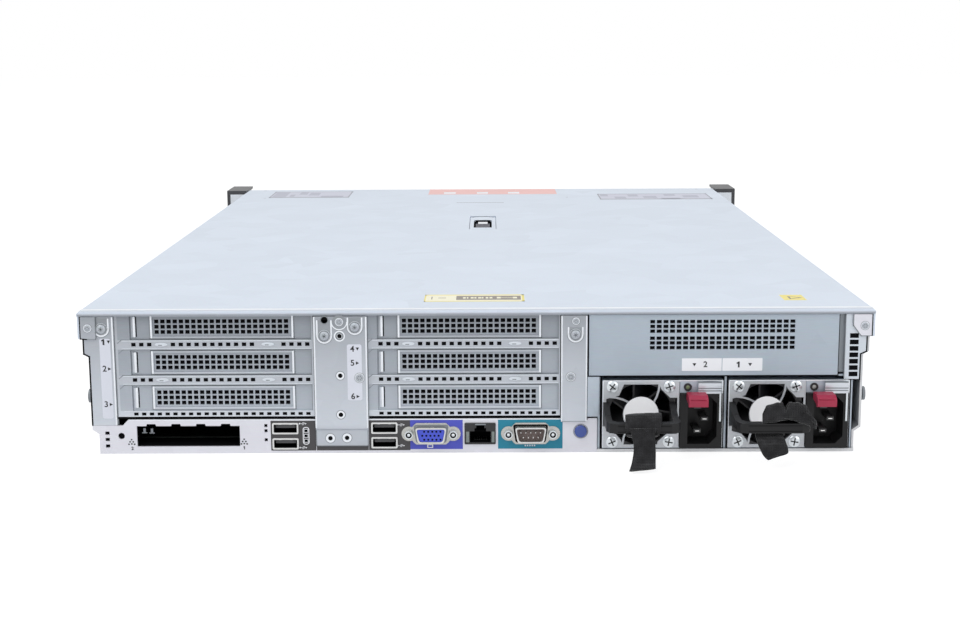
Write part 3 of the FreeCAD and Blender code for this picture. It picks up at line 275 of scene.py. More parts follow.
# Painted highlight: a near-white copy of the zinc for folded edges, pressed ridges, hole rims, case rims and the
# hood's rear edge.
FOLD_HIGHLIGHT = sheet_metal("edge_highlight", (0.84, 0.87, 0.91), 0.3, 0.35)
SCREW = sheet_metal("screw_zinc", (0.66, 0.70, 0.73), 0.8, 0.3, spangle=400)
DULL_SCREW = sheet_metal("dull_screw_zinc", (0.44, 0.47, 0.51), 0.4, 0.5, spangle=400)
# Dark steel grey: painted shade in screw recesses, joint lines, pressings, grooves and under tongues, and the
# colour of dark steel studs, clips and the jack's spring.
SHADE_AND_DARK_STEEL = sheet_metal("screw_recess", (0.24, 0.26, 0.28), 0.3, 0.5, spangle=400)
SHELL = sheet_metal("nickel_shell", (0.47, 0.47, 0.45), 0.85, 0.26, spangle=300)
ALUMINIUM = sheet_metal("fin_aluminium", (0.72, 0.73, 0.74), 0.9, 0.35, (900, 60, 60))
GOLD = sheet_metal("contact_gold", (0.80, 0.58, 0.22), 0.9, 0.3)
STEEL_PIN = sheet_metal("pin_steel", (0.85, 0.85, 0.84), 0.85, 0.25)
# Painted shade: a near-black copy of steel for pins and contacts deep inside sockets.
SHADED_PIN = sheet_metal("pin_painted_shade", (0.06, 0.06, 0.062), 0.3, 0.5)
# White print, and the painted highlight on the hood latch's ledge.
WHITE_PRINT_AND_HIGHLIGHT = printed("white_print_and_highlight", (0.90, 0.91, 0.94))
DISC_WHITE = printed("disc_print", (0.97, 0.97, 0.98))
STRIP_WHITE = printed("strip_print", (0.70, 0.72, 0.79))
# Black print, and the painted shade in the supplies' screw recesses.
INK_AND_SHADE = printed("ink", (0.012, 0.012, 0.014))
CHARCOAL = printed("charcoal_print", (0.055, 0.052, 0.055))
BLUE = printed("blue_print", (0.075, 0.09, 0.52))
TEAL = printed("teal_print", (0.010, 0.22, 0.33))
YELLOW = printed("yellow_print", (0.86, 0.74, 0.22))
PALE_YELLOW = printed("pale_yellow_print", (0.90, 0.86, 0.66))
TAUPE = printed("taupe_print", (0.25, 0.22, 0.19))
PALE_RED = printed("pale_red_print", (0.87, 0.52, 0.49))
BLOCK_PRINT = printed("block_print", (0.46, 0.47, 0.55))
GREY_PRINT_AND_SHADE = printed("grey_print", (0.34, 0.35, 0.40))
LILAC_PRINT = printed("lilac_print", (0.60, 0.61, 0.70))
JACK_GREY = painted("jack_grey", (0.22, 0.25, 0.235))
# Near-black: painted shade in holes, throats and the depth behind openings, and the dark of gaps and unlit lamp
# windows.
DARK = painted("dark_recess", (0.007, 0.007, 0.008), 0.9, gloss=0)
INSERT_BLUE = painted("blue_insert", (0.06, 0.09, 0.62), 0.45)
INSERT_BROWN = painted("brown_insert", (0.20, 0.15, 0.14), 0.5)
TONGUE = painted("tongue_plastic", (0.07, 0.07, 0.075))
ID_BLUE = painted("id_blue", (0.05, 0.09, 0.35), 0.16, depth=0.02, dust=0.05)
BLACK = painted("black_plastic", (0.017, 0.017, 0.019), 0.42, dust=0.2)
HANDLE = painted("handle_plastic", (0.010, 0.010, 0.011), 0.42, dust=0.25, gloss=0.28)
DRIVE = painted("drive_plastic", (0.040, 0.042, 0.046), 0.45, dust=0.15)
MAROON = painted("maroon_plastic", (0.36, 0.016, 0.055), dust=0.12)
THUMB_GREY = painted("thumb_grey", (0.16, 0.16, 0.18), 0.6, gloss=0.1)
LED_OLIVE = painted("led_olive", (0.20, 0.25, 0.13), 0.2, depth=0.02)
LED_GREY = painted("led_grey", (0.42, 0.43, 0.41), 0.2, depth=0.02)
POWER_CAP = painted("power_cap", (0.35, 0.37, 0.38))
STRAP = fabric("strap_fabric", (0.012, 0.012, 0.013))
BOARD = circuit_board("board_green", (0.012, 0.10, 0.045))
MODULE = circuit_board("module_green", (0.010, 0.07, 0.035))
EAR = ear_finish()

BY_SLOT = {
    "zinc_sheet": ZINC, "vent_sheet": VENT, "hood_sheet": HOOD, "screw_steel": SCREW,
    "shell_steel": SHELL, "board": BOARD, "module_board": MODULE, "fin_aluminium": ALUMINIUM,
    "cage_plastic": BLACK, "rotor_plastic": BLACK, "drive_plastic": DRIVE, "ear_plastic": EAR,
    "handle_plastic": HANDLE, "maroon_plastic": MAROON, "strap_fabric": STRAP,
    "button_plastic": ID_BLUE, "blue_connector": INSERT_BLUE,
}
BY_NODE = {
    "power_button": POWER_CAP, "rear_panel": BAND, "left_upright": UPRIGHT,
    "centre_bracket": UPRIGHT, "divider_bracket": UPRIGHT, "corner_flange": FLANGE,
    "slot_blanks": SUNK, "chassis_pan": PAN, "riser_cage_1": STRIP, "riser_cage_2": STRIP,
    "psu_1_fan_guard": GUARD, "psu_2_fan_guard": GUARD, "rear_fasteners": DULL_SCREW,
    "rail_studs": SHADE_AND_DARK_STEEL,
}
for entry in frame["record"]["subparts"]:
    packed = nodes[entry["node"]]
    finish = BY_NODE.get(entry["node"], BY_SLOT[entry["material_slot"]])
    if not packed.material_slots:
        packed.data.materials.append(finish)
    for material_slot in packed.material_slots:
        material_slot.material = finish


# ------------------------------------------------------------------ mesh helpers
class Mesh:
    """Gathers closed shapes into one mesh, in millimetres counted from an origin."""

    def __init__(self, x=0, y=0, z=0):
        self.bm = bmesh.new()
        self.origin = x, y, z

    def add(self, verts, faces, bevel=0):
        x0, y0, z0 = self.origin
        made = [self.bm.verts.new((x0 + x, y0 + y, z0 + z)) for x, y, z in verts]
        new_faces = [self.bm.faces.new([made[i] for i in face]) for face in faces]
        bmesh.ops.recalc_face_normals(self.bm, faces=new_faces)
        if bevel:
            edges = {e for f in new_faces for e in f.edges}
            edges = [e for e in edges if e.calc_face_angle(0) > 0.6]
            bmesh.ops.bevel(self.bm, geom=edges, offset=bevel, segments=2, profile=0.6,
                            affect="EDGES", clamp_overlap=True)
        return self

    def slab(self, x0, x1, y0, y1, z0, z1, bevel=0):
        corners = [(x, y, z) for x in (x0, x1) for y in (y0, y1) for z in (z0, z1)]
        faces = [(0, 1, 3, 2), (4, 6, 7, 5), (0, 4, 5, 1), (2, 3, 7, 6), (0, 2, 6, 4), (1, 5, 7, 3)]
        return self.add(corners, faces, bevel)

    def block(self, x, wide, y0, y1, z, tall, bevel=0):
        """A slab round a middle, by its half width and half height."""
        return self.slab(x - wide, x + wide, y0, y1, z - tall, z + tall, bevel)

    def row(self, count, step, x0, x1, y0, y1, z0, z1, bevel=0):
        """Equal slabs in a row, each one step (x, y, z) from the last."""
        for i in range(count):
            x, y, z = (i * part for part in step)
            self.slab(x0 + x, x1 + x, y0 + y, y1 + y, z0 + z, z1 + z, bevel)
        return self

    def prism(self, outline, y0, y1, bevel=0):
        """An outline of (x, z) points extruded along Y."""
        n = len(outline)
        verts = [(x, y, z) for y in (y0, y1) for x, z in outline]
        faces = [tuple(range(n)), tuple(range(2 * n - 1, n - 1, -1))]
        faces += [(i, n + i, n + (i + 1) % n, (i + 1) % n) for i in range(n)]
        return self.add(verts, faces, bevel)

    def turned(self, first, second, profile, count=32, axis="y"):
        """A profile of (radius, distance) points turned about a line along an axis."""
        verts, faces = [], []
        for radius, along in profile:
            for i in range(count):
                angle = 2 * math.pi * i / count
                a, b = first + radius * math.cos(angle), second + radius * math.sin(angle)
                verts.append({"x": (along, a, b), "y": (a, along, b), "z": (a, b, along)}[axis])
        rings = len(profile)
        for start in range(0, (rings - 1) * count, count):
            for i in range(count):
                j = (i + 1) % count
                faces.append((start + i, start + j, start + count + j, start + count + i))
        faces.append(tuple(range(count)))
        faces.append(tuple(range((rings - 1) * count, rings * count))[::-1])
        return self.add(verts, faces)

    def disc(self, x, z, radius, y0, y1, count):
        return self.turned(x, z, ((radius, y0), (radius, y1)), count)

    def ring(self, x, z, inner, outer, y0, y1, count=40, start=0, sweep=360):
        """A flat ring or arc about a line along Y."""
        closed = sweep >= 360
        steps = count if closed else count + 1
        verts, faces = [], []
        for i in range(steps):
            angle = math.radians(start + sweep * i / count)
            c, s = math.cos(angle), math.sin(angle)
            verts += [(x + r * c, y, z + r * s)
                      for r, y in ((inner, y0), (outer, y0), (outer, y1), (inner, y1))]
        for i in range(count):
            a, b = 4 * i, 4 * ((i + 1) % steps)
            faces += [(a + k, a + (k + 1) % 4, b + (k + 1) % 4, b + k) for k in range(4)]
        if not closed:
            faces += [(0, 1, 2, 3), tuple(4 * count + k for k in (3, 2, 1, 0))]
        return self.add(verts, faces)

    def cutout(self, outline, holes, y0, y1):
        """A flat plate with holes: (x, z) outlines, from y0 to y1."""
        flat, edges, origin = bmesh.new(), [], Vector(self.origin)
        for loop in [outline] + holes:
            made = [flat.verts.new(origin + Vector((x, y0, z))) for x, z in loop]
            edges += [flat.edges.new((made[i - 1], made[i])) for i in (*range(1, len(made)), 0)]
        bmesh.ops.triangle_fill(flat, use_beauty=True, use_dissolve=False, edges=edges)
        grown = bmesh.ops.extrude_face_region(flat, geom=list(flat.faces))
        moved = [v for v in grown["geom"] if isinstance(v, bmesh.types.BMVert)]
        bmesh.ops.translate(flat, verts=moved, vec=(0, y1 - y0, 0))
        flat.verts.index_update()
        verts = [v.co - origin for v in flat.verts]
        faces = [tuple(v.index for v in f.verts) for f in flat.faces]
        flat.free()
        return self.add(verts, faces)

    def seam(self, points, y, width):
        """A thin line through (x, z) points, lying on a face at y."""
        for (x0, z0), (x1, z1) in zip(points, points[1:]):
            run = Vector((x1 - x0, z1 - z0)).normalized() * width / 2
            self.prism([(x0 - run.x - run.y, z0 - run.y + run.x),
                        (x1 + run.x - run.y, z1 + run.y + run.x),
                        (x1 + run.x + run.y, z1 + run.y - run.x),
                        (x0 - run.x + run.y, z0 - run.y - run.x)], y - 0.06, y + 0.02)

    def piece(self, name, material, smooth=35, slot="zinc_sheet", body=CHASSIS):
        data = bpy.data.meshes.new(name)
        self.bm.to_mesh(data)
        self.bm.free()
        data.transform(Matrix.Scale(MM, 4))
        data.materials.append(material)
        made = new_object(name, data)
        if smooth:
            data.shade_smooth()
            data.set_sharp_from_angle(angle=math.radians(smooth))
        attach(made, body)
        return made


def meshes(count, x=0, y=0, z=0):
    return [Mesh(x, y, z) for _ in range(count)]


def lay_on(face, group):
    """Counts the Y values of what a group of meshes takes next from a face."""
    for mesh in group:
        mesh.origin = 0, face, 0


def rounded(x0, x1, z0, z1, radius, steps=5):
    """A rounded rectangle's outline."""
    points = []
    for cx, cz, start in ((x1 - radius, z0 + radius, -90), (x1 - radius, z1 - radius, 0),
                          (x0 + radius, z1 - radius, 90), (x0 + radius, z0 + radius, 180)):
        for i in range(steps + 1):
            angle = math.radians(start + 90 * i / steps)
            points.append((cx + radius * math.cos(angle), cz + radius * math.sin(angle)))
    return points


def box_outline(x0, x1, z0, z1):
    return [(x0, z0), (x1, z0), (x1, z1), (x0, z1)]


def circle_outline(x, z, radius, count=24, tall=None, start=0):
    angles = [math.radians(start + 360 * i / count) for i in range(count)]
    return [(x + radius * math.cos(a), z + (tall or radius) * math.sin(a)) for a in angles]


def bar_outline(x, z, half_length, half_width, angle):
    """A rectangle turned about its middle."""
    c, s = math.cos(angle), math.sin(angle)
    return [(x + u * c - v * s, z + u * s + v * c)
            for u, v in box_outline(-half_length, half_length, -half_width, half_width)]


def d_shape(x, z, half_width, half_height, slope=1.5, radius=1.6, steps=4):
    """A D-sub outline with rounded corners."""
    corners = [(x - half_width + slope, z - half_height), (x + half_width - slope, z - half_height),
               (x + half_width, z + half_height), (x - half_width, z + half_height)]
    points = []
    for i, corner in enumerate(corners):
        here = Vector(corner)
        before = (Vector(corners[i - 1]) - here).normalized()
        after = (Vector(corners[(i + 1) % 4]) - here).normalized()
        for k in range(steps + 1):
            t = k / steps
            points.append(tuple(here + before * radius * (1 - t) ** 2 + after * radius * t ** 2))
    return points


def number(name, text, x, y, z, height, slot="zinc_sheet"):
    """A plain number, flat on a plate that faces -Y."""
    if text == "1":
        figure = ((-0.09, -0.36), (0.12, -0.36), (0.12, 0.36), (-0.04, 0.36), (-0.28, 0.20),
                  (-0.20, 0.07), (-0.09, 0.13))
        outline = [(x + a * height, z + b * height) for a, b in figure]
        Mesh().prism(outline, y - 0.05, y - 0.01).piece(name, INK_AND_SHADE, 0, slot)
        return
    curve = bpy.data.curves.new(name, "FONT")
    curve.body = text
    curve.size = height * MM
    curve.offset = 0.09 * MM         # a bolder stroke
    curve.extrude = 0.02 * MM
    curve.align_x = curve.align_y = "CENTER"
    curve.materials.append(INK_AND_SHADE)
    made = new_object(name, curve)
    made.rotation_euler = (math.radians(90), 0, 0)
    made.location = (x * MM, (y - 0.03) * MM, z * MM)
    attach(made, CHASSIS)


# ------------------------------------------------------------------ rear wall
REAR = low("rear_panel").y
BRACKET = low("centre_bracket").y
DIVIDER = low("divider_bracket").y
CAGES = low("riser_cage_1").x, low("riser_cage_2").x
CAGE_FACE = low("riser_cage_1").y
SHIFTS = 0, CAGES[1] - CAGES[0]
SLOT_PITCH = 20.32
SLOT_MIDDLES = [high("slot_blanks").z - 7.6 - SLOT_PITCH * slot for slot in range(3)]
USB_PLACES = (-115.2, 11.3), (-115.2, 2.4), (-59.2, 11.4), (-59.2, 2.9)
D_OPENINGS = [rounded(x, x + 17.6, 6.5, 15.9, 0.3, 2) for x in (-34.2, 22.0)]


def joint_lines():
    """The dark gaps where the rear's sheets meet, painted edge shadows, painted shade over the corner vents, and
    painted highlights along the strips' edges.
    """
    deep, soft, light, sunk, tab = meshes(5)
    light.origin = sunk.origin = 0, CAGE_FACE, 0
    for left, shift, edge in zip(CAGES, SHIFTS, (1.7, 3.5)):
        start, right = left + edge, left + 110.2
        for top, base in ((65.4, 60.28), (45.08, 39.96)):
            soft.seam([(start, top - 1.6), (start + 2.2, top + 0.2), (right, top + 0.2)],
                      CAGE_FACE - 0.05, 0.4)
            base -= 0.25
            soft.seam([(start + 0.4, base - 2.15), (start + 2.8, base), (right, base)],
                      CAGE_FACE - 0.05, 0.4)
        for z0, z1 in ((64.85, 65.4), (60.28, 60.73), (44.53, 45.08), (39.96, 40.41),
                       (24.3, 24.76), (21.45, 21.95)):
            light.slab(start + 2.2, right, -0.08, 0.1, z0, z1, 0.05)
        deep.seam([(left, 20.7), (right + 0.8, 20.7)], CAGE_FACE, 0.9)
        for slot in range(3):
            z = 73 - SLOT_PITCH * slot
            field = box_outline(shift - 182.6, shift - 101.6, z - 6.9, z + 6.9)
            soft.seam(field + field[:1], CAGE_FACE + 1, 0.35)
            soft.seam([(right, z - 7.4), (right, z + 7.4)], CAGE_FACE + 0.05, 0.35)
            sunk.slab(start, left + 8.7, -0.03, 0.5, z - 7.45, z + 7.45)
    for mesh, y, width, *points in (
        (soft, CAGE_FACE, 0.5, (-202.2, 17.2), (-202.2, 78.6)),
        (soft, REAR - 0.95, 0.4, (-212.5, 79), (-212.5, 66.4), (-221.2, 66.4)),
        (deep, REAR - 1, 0.6, (-221.1, 79), (-221.1, 66.6), (-217.6, 66.3)),
        (deep, REAR, 0.9, (-219.8, 66), (-219.8, 57.8), (-216.8, 56.2), (-216.8, 16.8)),
        (deep, CAGE_FACE - 0.1, 0.5, (-90.75, 15), (-90.75, 78.8)),
        (soft, CAGE_FACE - 0.1, 0.5, (-60.55, 15), (-60.55, 78.8)),
        (soft, BRACKET + 1, 0.45, (-90.2, 14), (-90.2, 4.5), (-61.1, 4.5), (-61.1, 14)),
        (soft, BRACKET + 0.9, 0.3, (-90.2, 14.2), (-61.1, 14.2)),
        (deep, CAGE_FACE - 0.1, 0.4, (47.5, 19), (47.5, 78.8)),
        (deep, REAR, 0.4, (62.6, 19), (62.6, 78.8)),
        (soft, DIVIDER, 0.3, (47.9, 18.4), (62, 18.4)),
        (deep, REAR, 0.7, (63.5, 44), (203, 44)),
        (deep, REAR, 0.35, (202.9, 44.2), (202.9, 78.8)),
        (soft, REAR, 0.4, (206.4, 42.2), (206.4, 78.8)),
        (deep, REAR, 0.4, (206.6, 41.7), (215.4, 41.7)),
        (soft, REAR - 0.9, 0.5, (210.5, 78.8), (210.5, 72.7), (214.9, 66.8), (221, 66.8)),
        (deep, REAR - 1.1, 0.6, (221, 78.9), (221, 66.9)),
        (deep, REAR, 0.8, (218.5, 66.6), (218.5, 57.8), (215.2, 56.2), (215.2, 42)),
    ):
        mesh.seam(points, y, width)
    tab.origin = 0, low("corner_flange").y, 0
    tab.prism([(210.7, 79), (210.7, 72.8), (215, 67), (221.2, 67), (221.2, 79)], -0.04, 0.6)
    # Painted shade: black patches over the corner flange's vent holes.
    deep.row(7, (0, 0, 3.66), 208.95, 213.85, REAR - 0.04, REAR + 0.02, 43.45, 46.1)
    for x in (70.5, 139.3, 141.6, 210.4):
        deep.seam([(x, 2.2), (x, 43.4)], REAR + 0.6, 0.6)
    sunk.piece("cage_side_bands", SUNK, 0)
    tab.piece("corner_tab_face", BAND, 0)
    deep.piece("joint_gaps", DARK, 0)
    soft.piece("joint_shadows", SHADE_AND_DARK_STEEL, 0)
    light.piece("strip_edge_highlights", RIDGE, 0)


def vent_bars():
    """The upright bars that part each long vent slot into square holes, over unlit depth."""
    bars, depth = meshes(2, y=high("slot_blanks").y)
    for left in CAGES:
        start = left + 22.6
        for middle in SLOT_MIDDLES:
            bars.row(21, (3.46, 0, 0), start + 2.4, start + 3.36, -1.28, -0.02,
                     middle - 4.1, middle + 4.1)
            for i in range(22):
                x = start - 0.05 + i * 3.46
                for z in (-4.09, -2.05, -1.09, 0.95, 1.91, 3.95):
                    depth.slab(x, x + 2.4, -1.34, -1.28, middle + z, middle + z + 0.14)
            depth.slab(start - 0.3, start + 75.3, -0.4, 0.3, middle - 4, middle + 4)
    bars.piece("blank_vent_bars", SUNK, 0)
    panel = low("vent_panel")
    bars = Mesh(panel.x + 34, panel.y, panel.z)
    depth.origin = bars.origin
    for level in (15, 24.4):
        bars.row(21, (3.72, 0, 0), 2.7, 3.62, 0.02, 0.98, level - 0.2, level + 7.25)
        for i in range(22):
            x = i * 3.72 - 0.05
            for z in (-0.15, 1.65, 2.55, 4.35, 5.25, 7.05):
                depth.slab(x, x + 2.7, -0.05, 0.02, level + z, level + z + 0.15)
        depth.slab(-0.3, 81.1, 0.6, 1.3, level - 0.4, level + 7.45)
    bars.piece("panel_vent_bars", VENT, 0, "vent_sheet")
    depth.piece("vent_depth", DARK, 0)


def strip_squares():
    """The dark square holes along the bars between the slots, drawn as painted shade, and the lanced tongues
    there, with a painted highlight on them and painted shade in their hollows.
    """
    holes, tongues, hollows = meshes(3, y=CAGE_FACE)
    for left in CAGES:
        for height in (63, 42.7):
            for i in (*range(3), *range(5, 16), *range(19, 23)):
                holes.block(left + 10.6 + i * 4.43, 1.2, -0.1, 0.3, height, 1)
            for i in (3.5, 17):
                x = left + 10.6 + i * 4.43
                tongues.prism(circle_outline(x, height, 3.6, tall=1.1), -0.45, 0.02, 0.4)
                hollows.slab(x - 1.6, x + 0.6, -0.49, -0.4, height - 0.6, height - 0.1)
        holes.row(23, (4.42, 0, 0), left + 9.3, left + 11.7, -0.1, 0.3, 22.2, 23.8)
    holes.piece("strip_holes", DARK, 0)
    tongues.piece("strip_tongues", RIDGE, 50)
    hollows.piece("strip_tongue_shades", SHADE_AND_DARK_STEEL, 0)


def blank_trims():
    """The painted highlight on the fold and the painted shadow beside each blank's rib, and the rim round its
    raised field.
    """
    bright, dark, plain = meshes(3, y=high("slot_blanks").y - 1.9)
    for shift in SHIFTS:
        for middle in SLOT_MIDDLES:
            for mesh, x0, x1, y0, y1, tall, bevel in (
                (plain, -192.7, -191.5, -0.1, 0.9, 5.9, 0.5),
                (bright, -191.8, -190.45, -0.2, 0.9, 5.9, 0.5),
                (dark, -190.4, -189.85, 0.8, 0.93, 5.8, 0),
                (bright, -182.15, -181.1, -0.1, 0.3, 6.5, 0.3),
                (bright, -103, -101.95, -0.1, 0.3, 6.5, 0.3),
            ):
                mesh.slab(shift + x0, shift + x1, y0, y1, middle - tall, middle + tall, bevel)
            for z in (middle - 6.6, middle + 5.6):
                plain.slab(shift - 181.2, shift - 102.8, 0.02, 0.3, z, z + 1, 0.25)
    bright.piece("blank_edge_highlights", FOLD_HIGHLIGHT, 40)
    dark.piece("blank_shadow_lines", DARK, 0)
    plain.piece("blank_field_rims", UPRIGHT, 40)


def number_strips():
    """Printed strips with plain slot numbers and pointers."""
    strips, points = meshes(2)
    down, across = ((1.9, 0.9), (3.8, 0.9), (2.85, -0.9)), ((1.9, -0.95), (3.7, 0), (1.9, 0.95))
    for x0, x1, z0, z1, face, inset, numbers in (
        (-210.8, -204.7, 20.5, 66.5, REAR, 2.3,
         (("1", 64.6, down), ("2", 49.2, across), ("3", 28.7, across))),
        (-72, -63.8, 31.1, 63.2, BRACKET, 3,
         (("4", 60.5, down), ("5", 52.5, across), ("6", 33.3, across))),
    ):
        strips.prism(rounded(x0, x1, z0, z1, 1.2), face - 0.08, face - 0.01)
        x = x0 + inset
        for text, z, tip in numbers:
            number(f"number_{text}", text, x, face - 0.08, z, 4.7)
            points.prism([(x + a, z + b) for a, b in tip], face - 0.12, face - 0.09)
    strips.piece("number_strips", STRIP_WHITE, 0)
    points.piece("number_pointers", INK_AND_SHADE, 0)


def rear_fastener_details():
    """Captive screws in pressed rings, rivets, and the rimmed holes of the brackets, with painted highlights on
    the ridges and rims, and painted shade in the screw recesses, round the pressings, on their floors and in the
    holes.
    """
    group = heads, slots, ridges, rings, dots, shades, floors = meshes(7)
    upright = low("left_upright").y
    for x, z, face, top in ((-209.4, 72, upright + 1, 78), (-84.5, 68.1, BRACKET, 77),
                            (-67.4, 73, BRACKET, 78.4), (55.7, 68.2, DIVIDER, 72.5)):
        lay_on(face, group)
        heads.turned(x, z, ((2.7, 0), (2.7, -0.8), (2.43, -1.2), (1.674, -1.5), (0.675, -1.58)), 28)
        ridges.ring(x, z, 2.8, 3.3, -0.25, 0.02, 28)
        for i in range(3):
            slots.prism(bar_outline(x, z, 1.35, 0.243, 0.3 + i * math.pi / 3), -1.6, -1)
        ridges.ring(x, z, 3.5, 4.4, -0.45, 0.05, 20, 180, 180)
        for side in (-3.95, 3.95):
            ridges.slab(x + side - 0.45, x + side + 0.45, -0.45, 0.05, z, top, 0.2)
        floors.slab(x - 3.5, x + 3.5, -0.04, 0.02, z, top)
        floors.disc(x, z, 3.5, 0, -0.045, 32)
        shades.ring(x, z, 2.7, 3.1, -0.9, 0.02, 28)
        shades.ring(x, z, 4.45, 4.75, -0.1, 0.02, 20, 180, 180)
    for x, z, face, radius in ((-216.9, 72.6, upright, 1.9), (216.9, 72.6, upright, 1.9),
                               (-65.2, 44, BRACKET, 2.3), (53.2, 44.1, DIVIDER, 2.2),
                               (55.9, 75.8, DIVIDER, 1.7), (-76.1, 75.9, BRACKET, 1.9)):
        lay_on(face, group)
        heads.turned(x, z, ((radius, 0), (radius, -0.35), (radius * 0.8, -0.6),
                            (radius * 0.5, -0.5), (radius * 0.2, -0.35)), 24)
        rings.ring(x, z, radius + 0.05, radius + 0.4, -0.1, 0.02, 24)
        shades.ring(x, z, radius + 0.4, radius + 0.65, -0.1, 0.02, 24)
        for u, v in circle_outline(x, z, radius * 0.5, 6):
            shades.disc(u, v, radius * 0.16, -0.3, -0.62, 10)
    lay_on(BRACKET, group)
    ridges.ring(-76.1, 75.9, 4, 4.6, -0.4, 0.05, 24, 180, 180)
    floors.disc(-76.1, 75.9, 4, 0, -0.04, 32)
    shades.ring(-76.1, 75.9, 4.6, 4.9, -0.1, 0.02, 24, 180, 180)
    shades.ring(-76, 67.9, 1.5, 2.35, -0.2, 0.02, 28)
    rings.ring(-76, 67.9, 2.35, 3.1, -0.2, 0.02, 28)
    for x, z, wide, back in ((-76, 67.9, 1.5, 0), (-76, 45.3, 2.3, 0), (-76.1, 22.8, 2.3, 0),
                             (-82.4, 8.9, 2.6, 1), (-73, 9.1, 2.6, 1)):
        lay_on(BRACKET + back, group)
        rings.ring(x, z, 1.3, wide, -0.16, 0.02, 28)
        shades.ring(x, z, wide, wide + 0.35, -0.1, 0.02, 28)
        dots.disc(x, z, 1.4, 0.9, -0.02, 20)
    lay_on(BRACKET, group)
    dots.disc(-84.3, 77, 1.9, 0.9, -0.04, 20)
    shades.ring(-84.3, 77, 1.9, 2.4, -0.1, 0.02, 28)
    fasteners = heads.piece("rear_screw_heads", DULL_SCREW, slot="screw_steel")
    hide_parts("rear_fasteners")
    slots.piece("rear_screw_recesses", SHADE_AND_DARK_STEEL, 0, "screw_steel")
    ridges.piece("pressed_ridge_highlights", FOLD_HIGHLIGHT)
    floors.piece("pressed_floor_shades", PRESSING_SHADE, 0)
    rings.piece("hole_rim_highlights", FOLD_HIGHLIGHT)
    shades.piece("pressing_shadows", SHADE_AND_DARK_STEEL, 0)
    dots.piece("bracket_hole_depths", DARK, 0)


def bright_folds():
    """The rounded, light-catching folded edges of the upright, the brackets and the band."""
    edges = Mesh()
    edges.slab(-203.7, -202.7, REAR - 0.5, REAR + 1.6, 16.6, 78.9, 0.35)
    for x in (low("centre_bracket").x - 0.15, high("centre_bracket").x - 0.75):
        edges.slab(x, x + 0.9, BRACKET - 0.3, BRACKET + 1, 15, 78.8, 0.3)
    for x in (low("divider_bracket").x - 0.1, high("divider_bracket").x - 0.7):
        edges.slab(x, x + 0.8, DIVIDER - 0.25, DIVIDER + 0.9, 18.3, 78.8, 0.25)
    for x0, x1 in ((-60.5, 49), (-196, -90.6)):
        edges.slab(x0, x1, REAR - 0.12, REAR + 0.6, 19.1, 19.75, 0.12)
    edges.piece("bright_folded_edges", FOLD_HIGHLIGHT)


def band_cover():
    """The warmer plain sheet of the connector band, with its openings."""
    outline = [(-213.1, 0.3), (68, 0.3), (68, 19), (-196.9, 19), (-200.2, 15.9), (-213.1, 15.9)]
    notched = [(-192, 4.1), (-133.7, 4.1), (-133.7, 16)]
    for i in range(3, -1, -1):
        x = -186.6 + i * 14.05
        notched += [(x + 5.6, 16), (x + 5.2, 17.2), (x + 0.4, 17.2), (x, 16)]
    notched.append((-192, 16))
    holes = [notched, circle_outline(-200.8, 10.3, 1.9), circle_outline(59, 12.3, 3.6, 32)]
    holes += [rounded(-210, -207.5, z - 0.95, z + 0.95, 0.1, 1) for z in (4.5, 8.3, 12)]
    holes += [rounded(-119.8, -118, z - 0.9, z + 0.9, 0.1, 1) for z in (7.8, 13.1, 16.1)]
    holes += [rounded(x, x + 14.6, z, z + 6.3, 0.3, 2) for x, z in USB_PLACES]
    holes += [D_OPENINGS[0], rounded(-6.3, 10.7, 5.4, 17, 0.3, 2), D_OPENINGS[1]]
    Mesh(y=REAR).cutout(outline, holes, -0.03, 0).piece("band_face", BAND, 0)


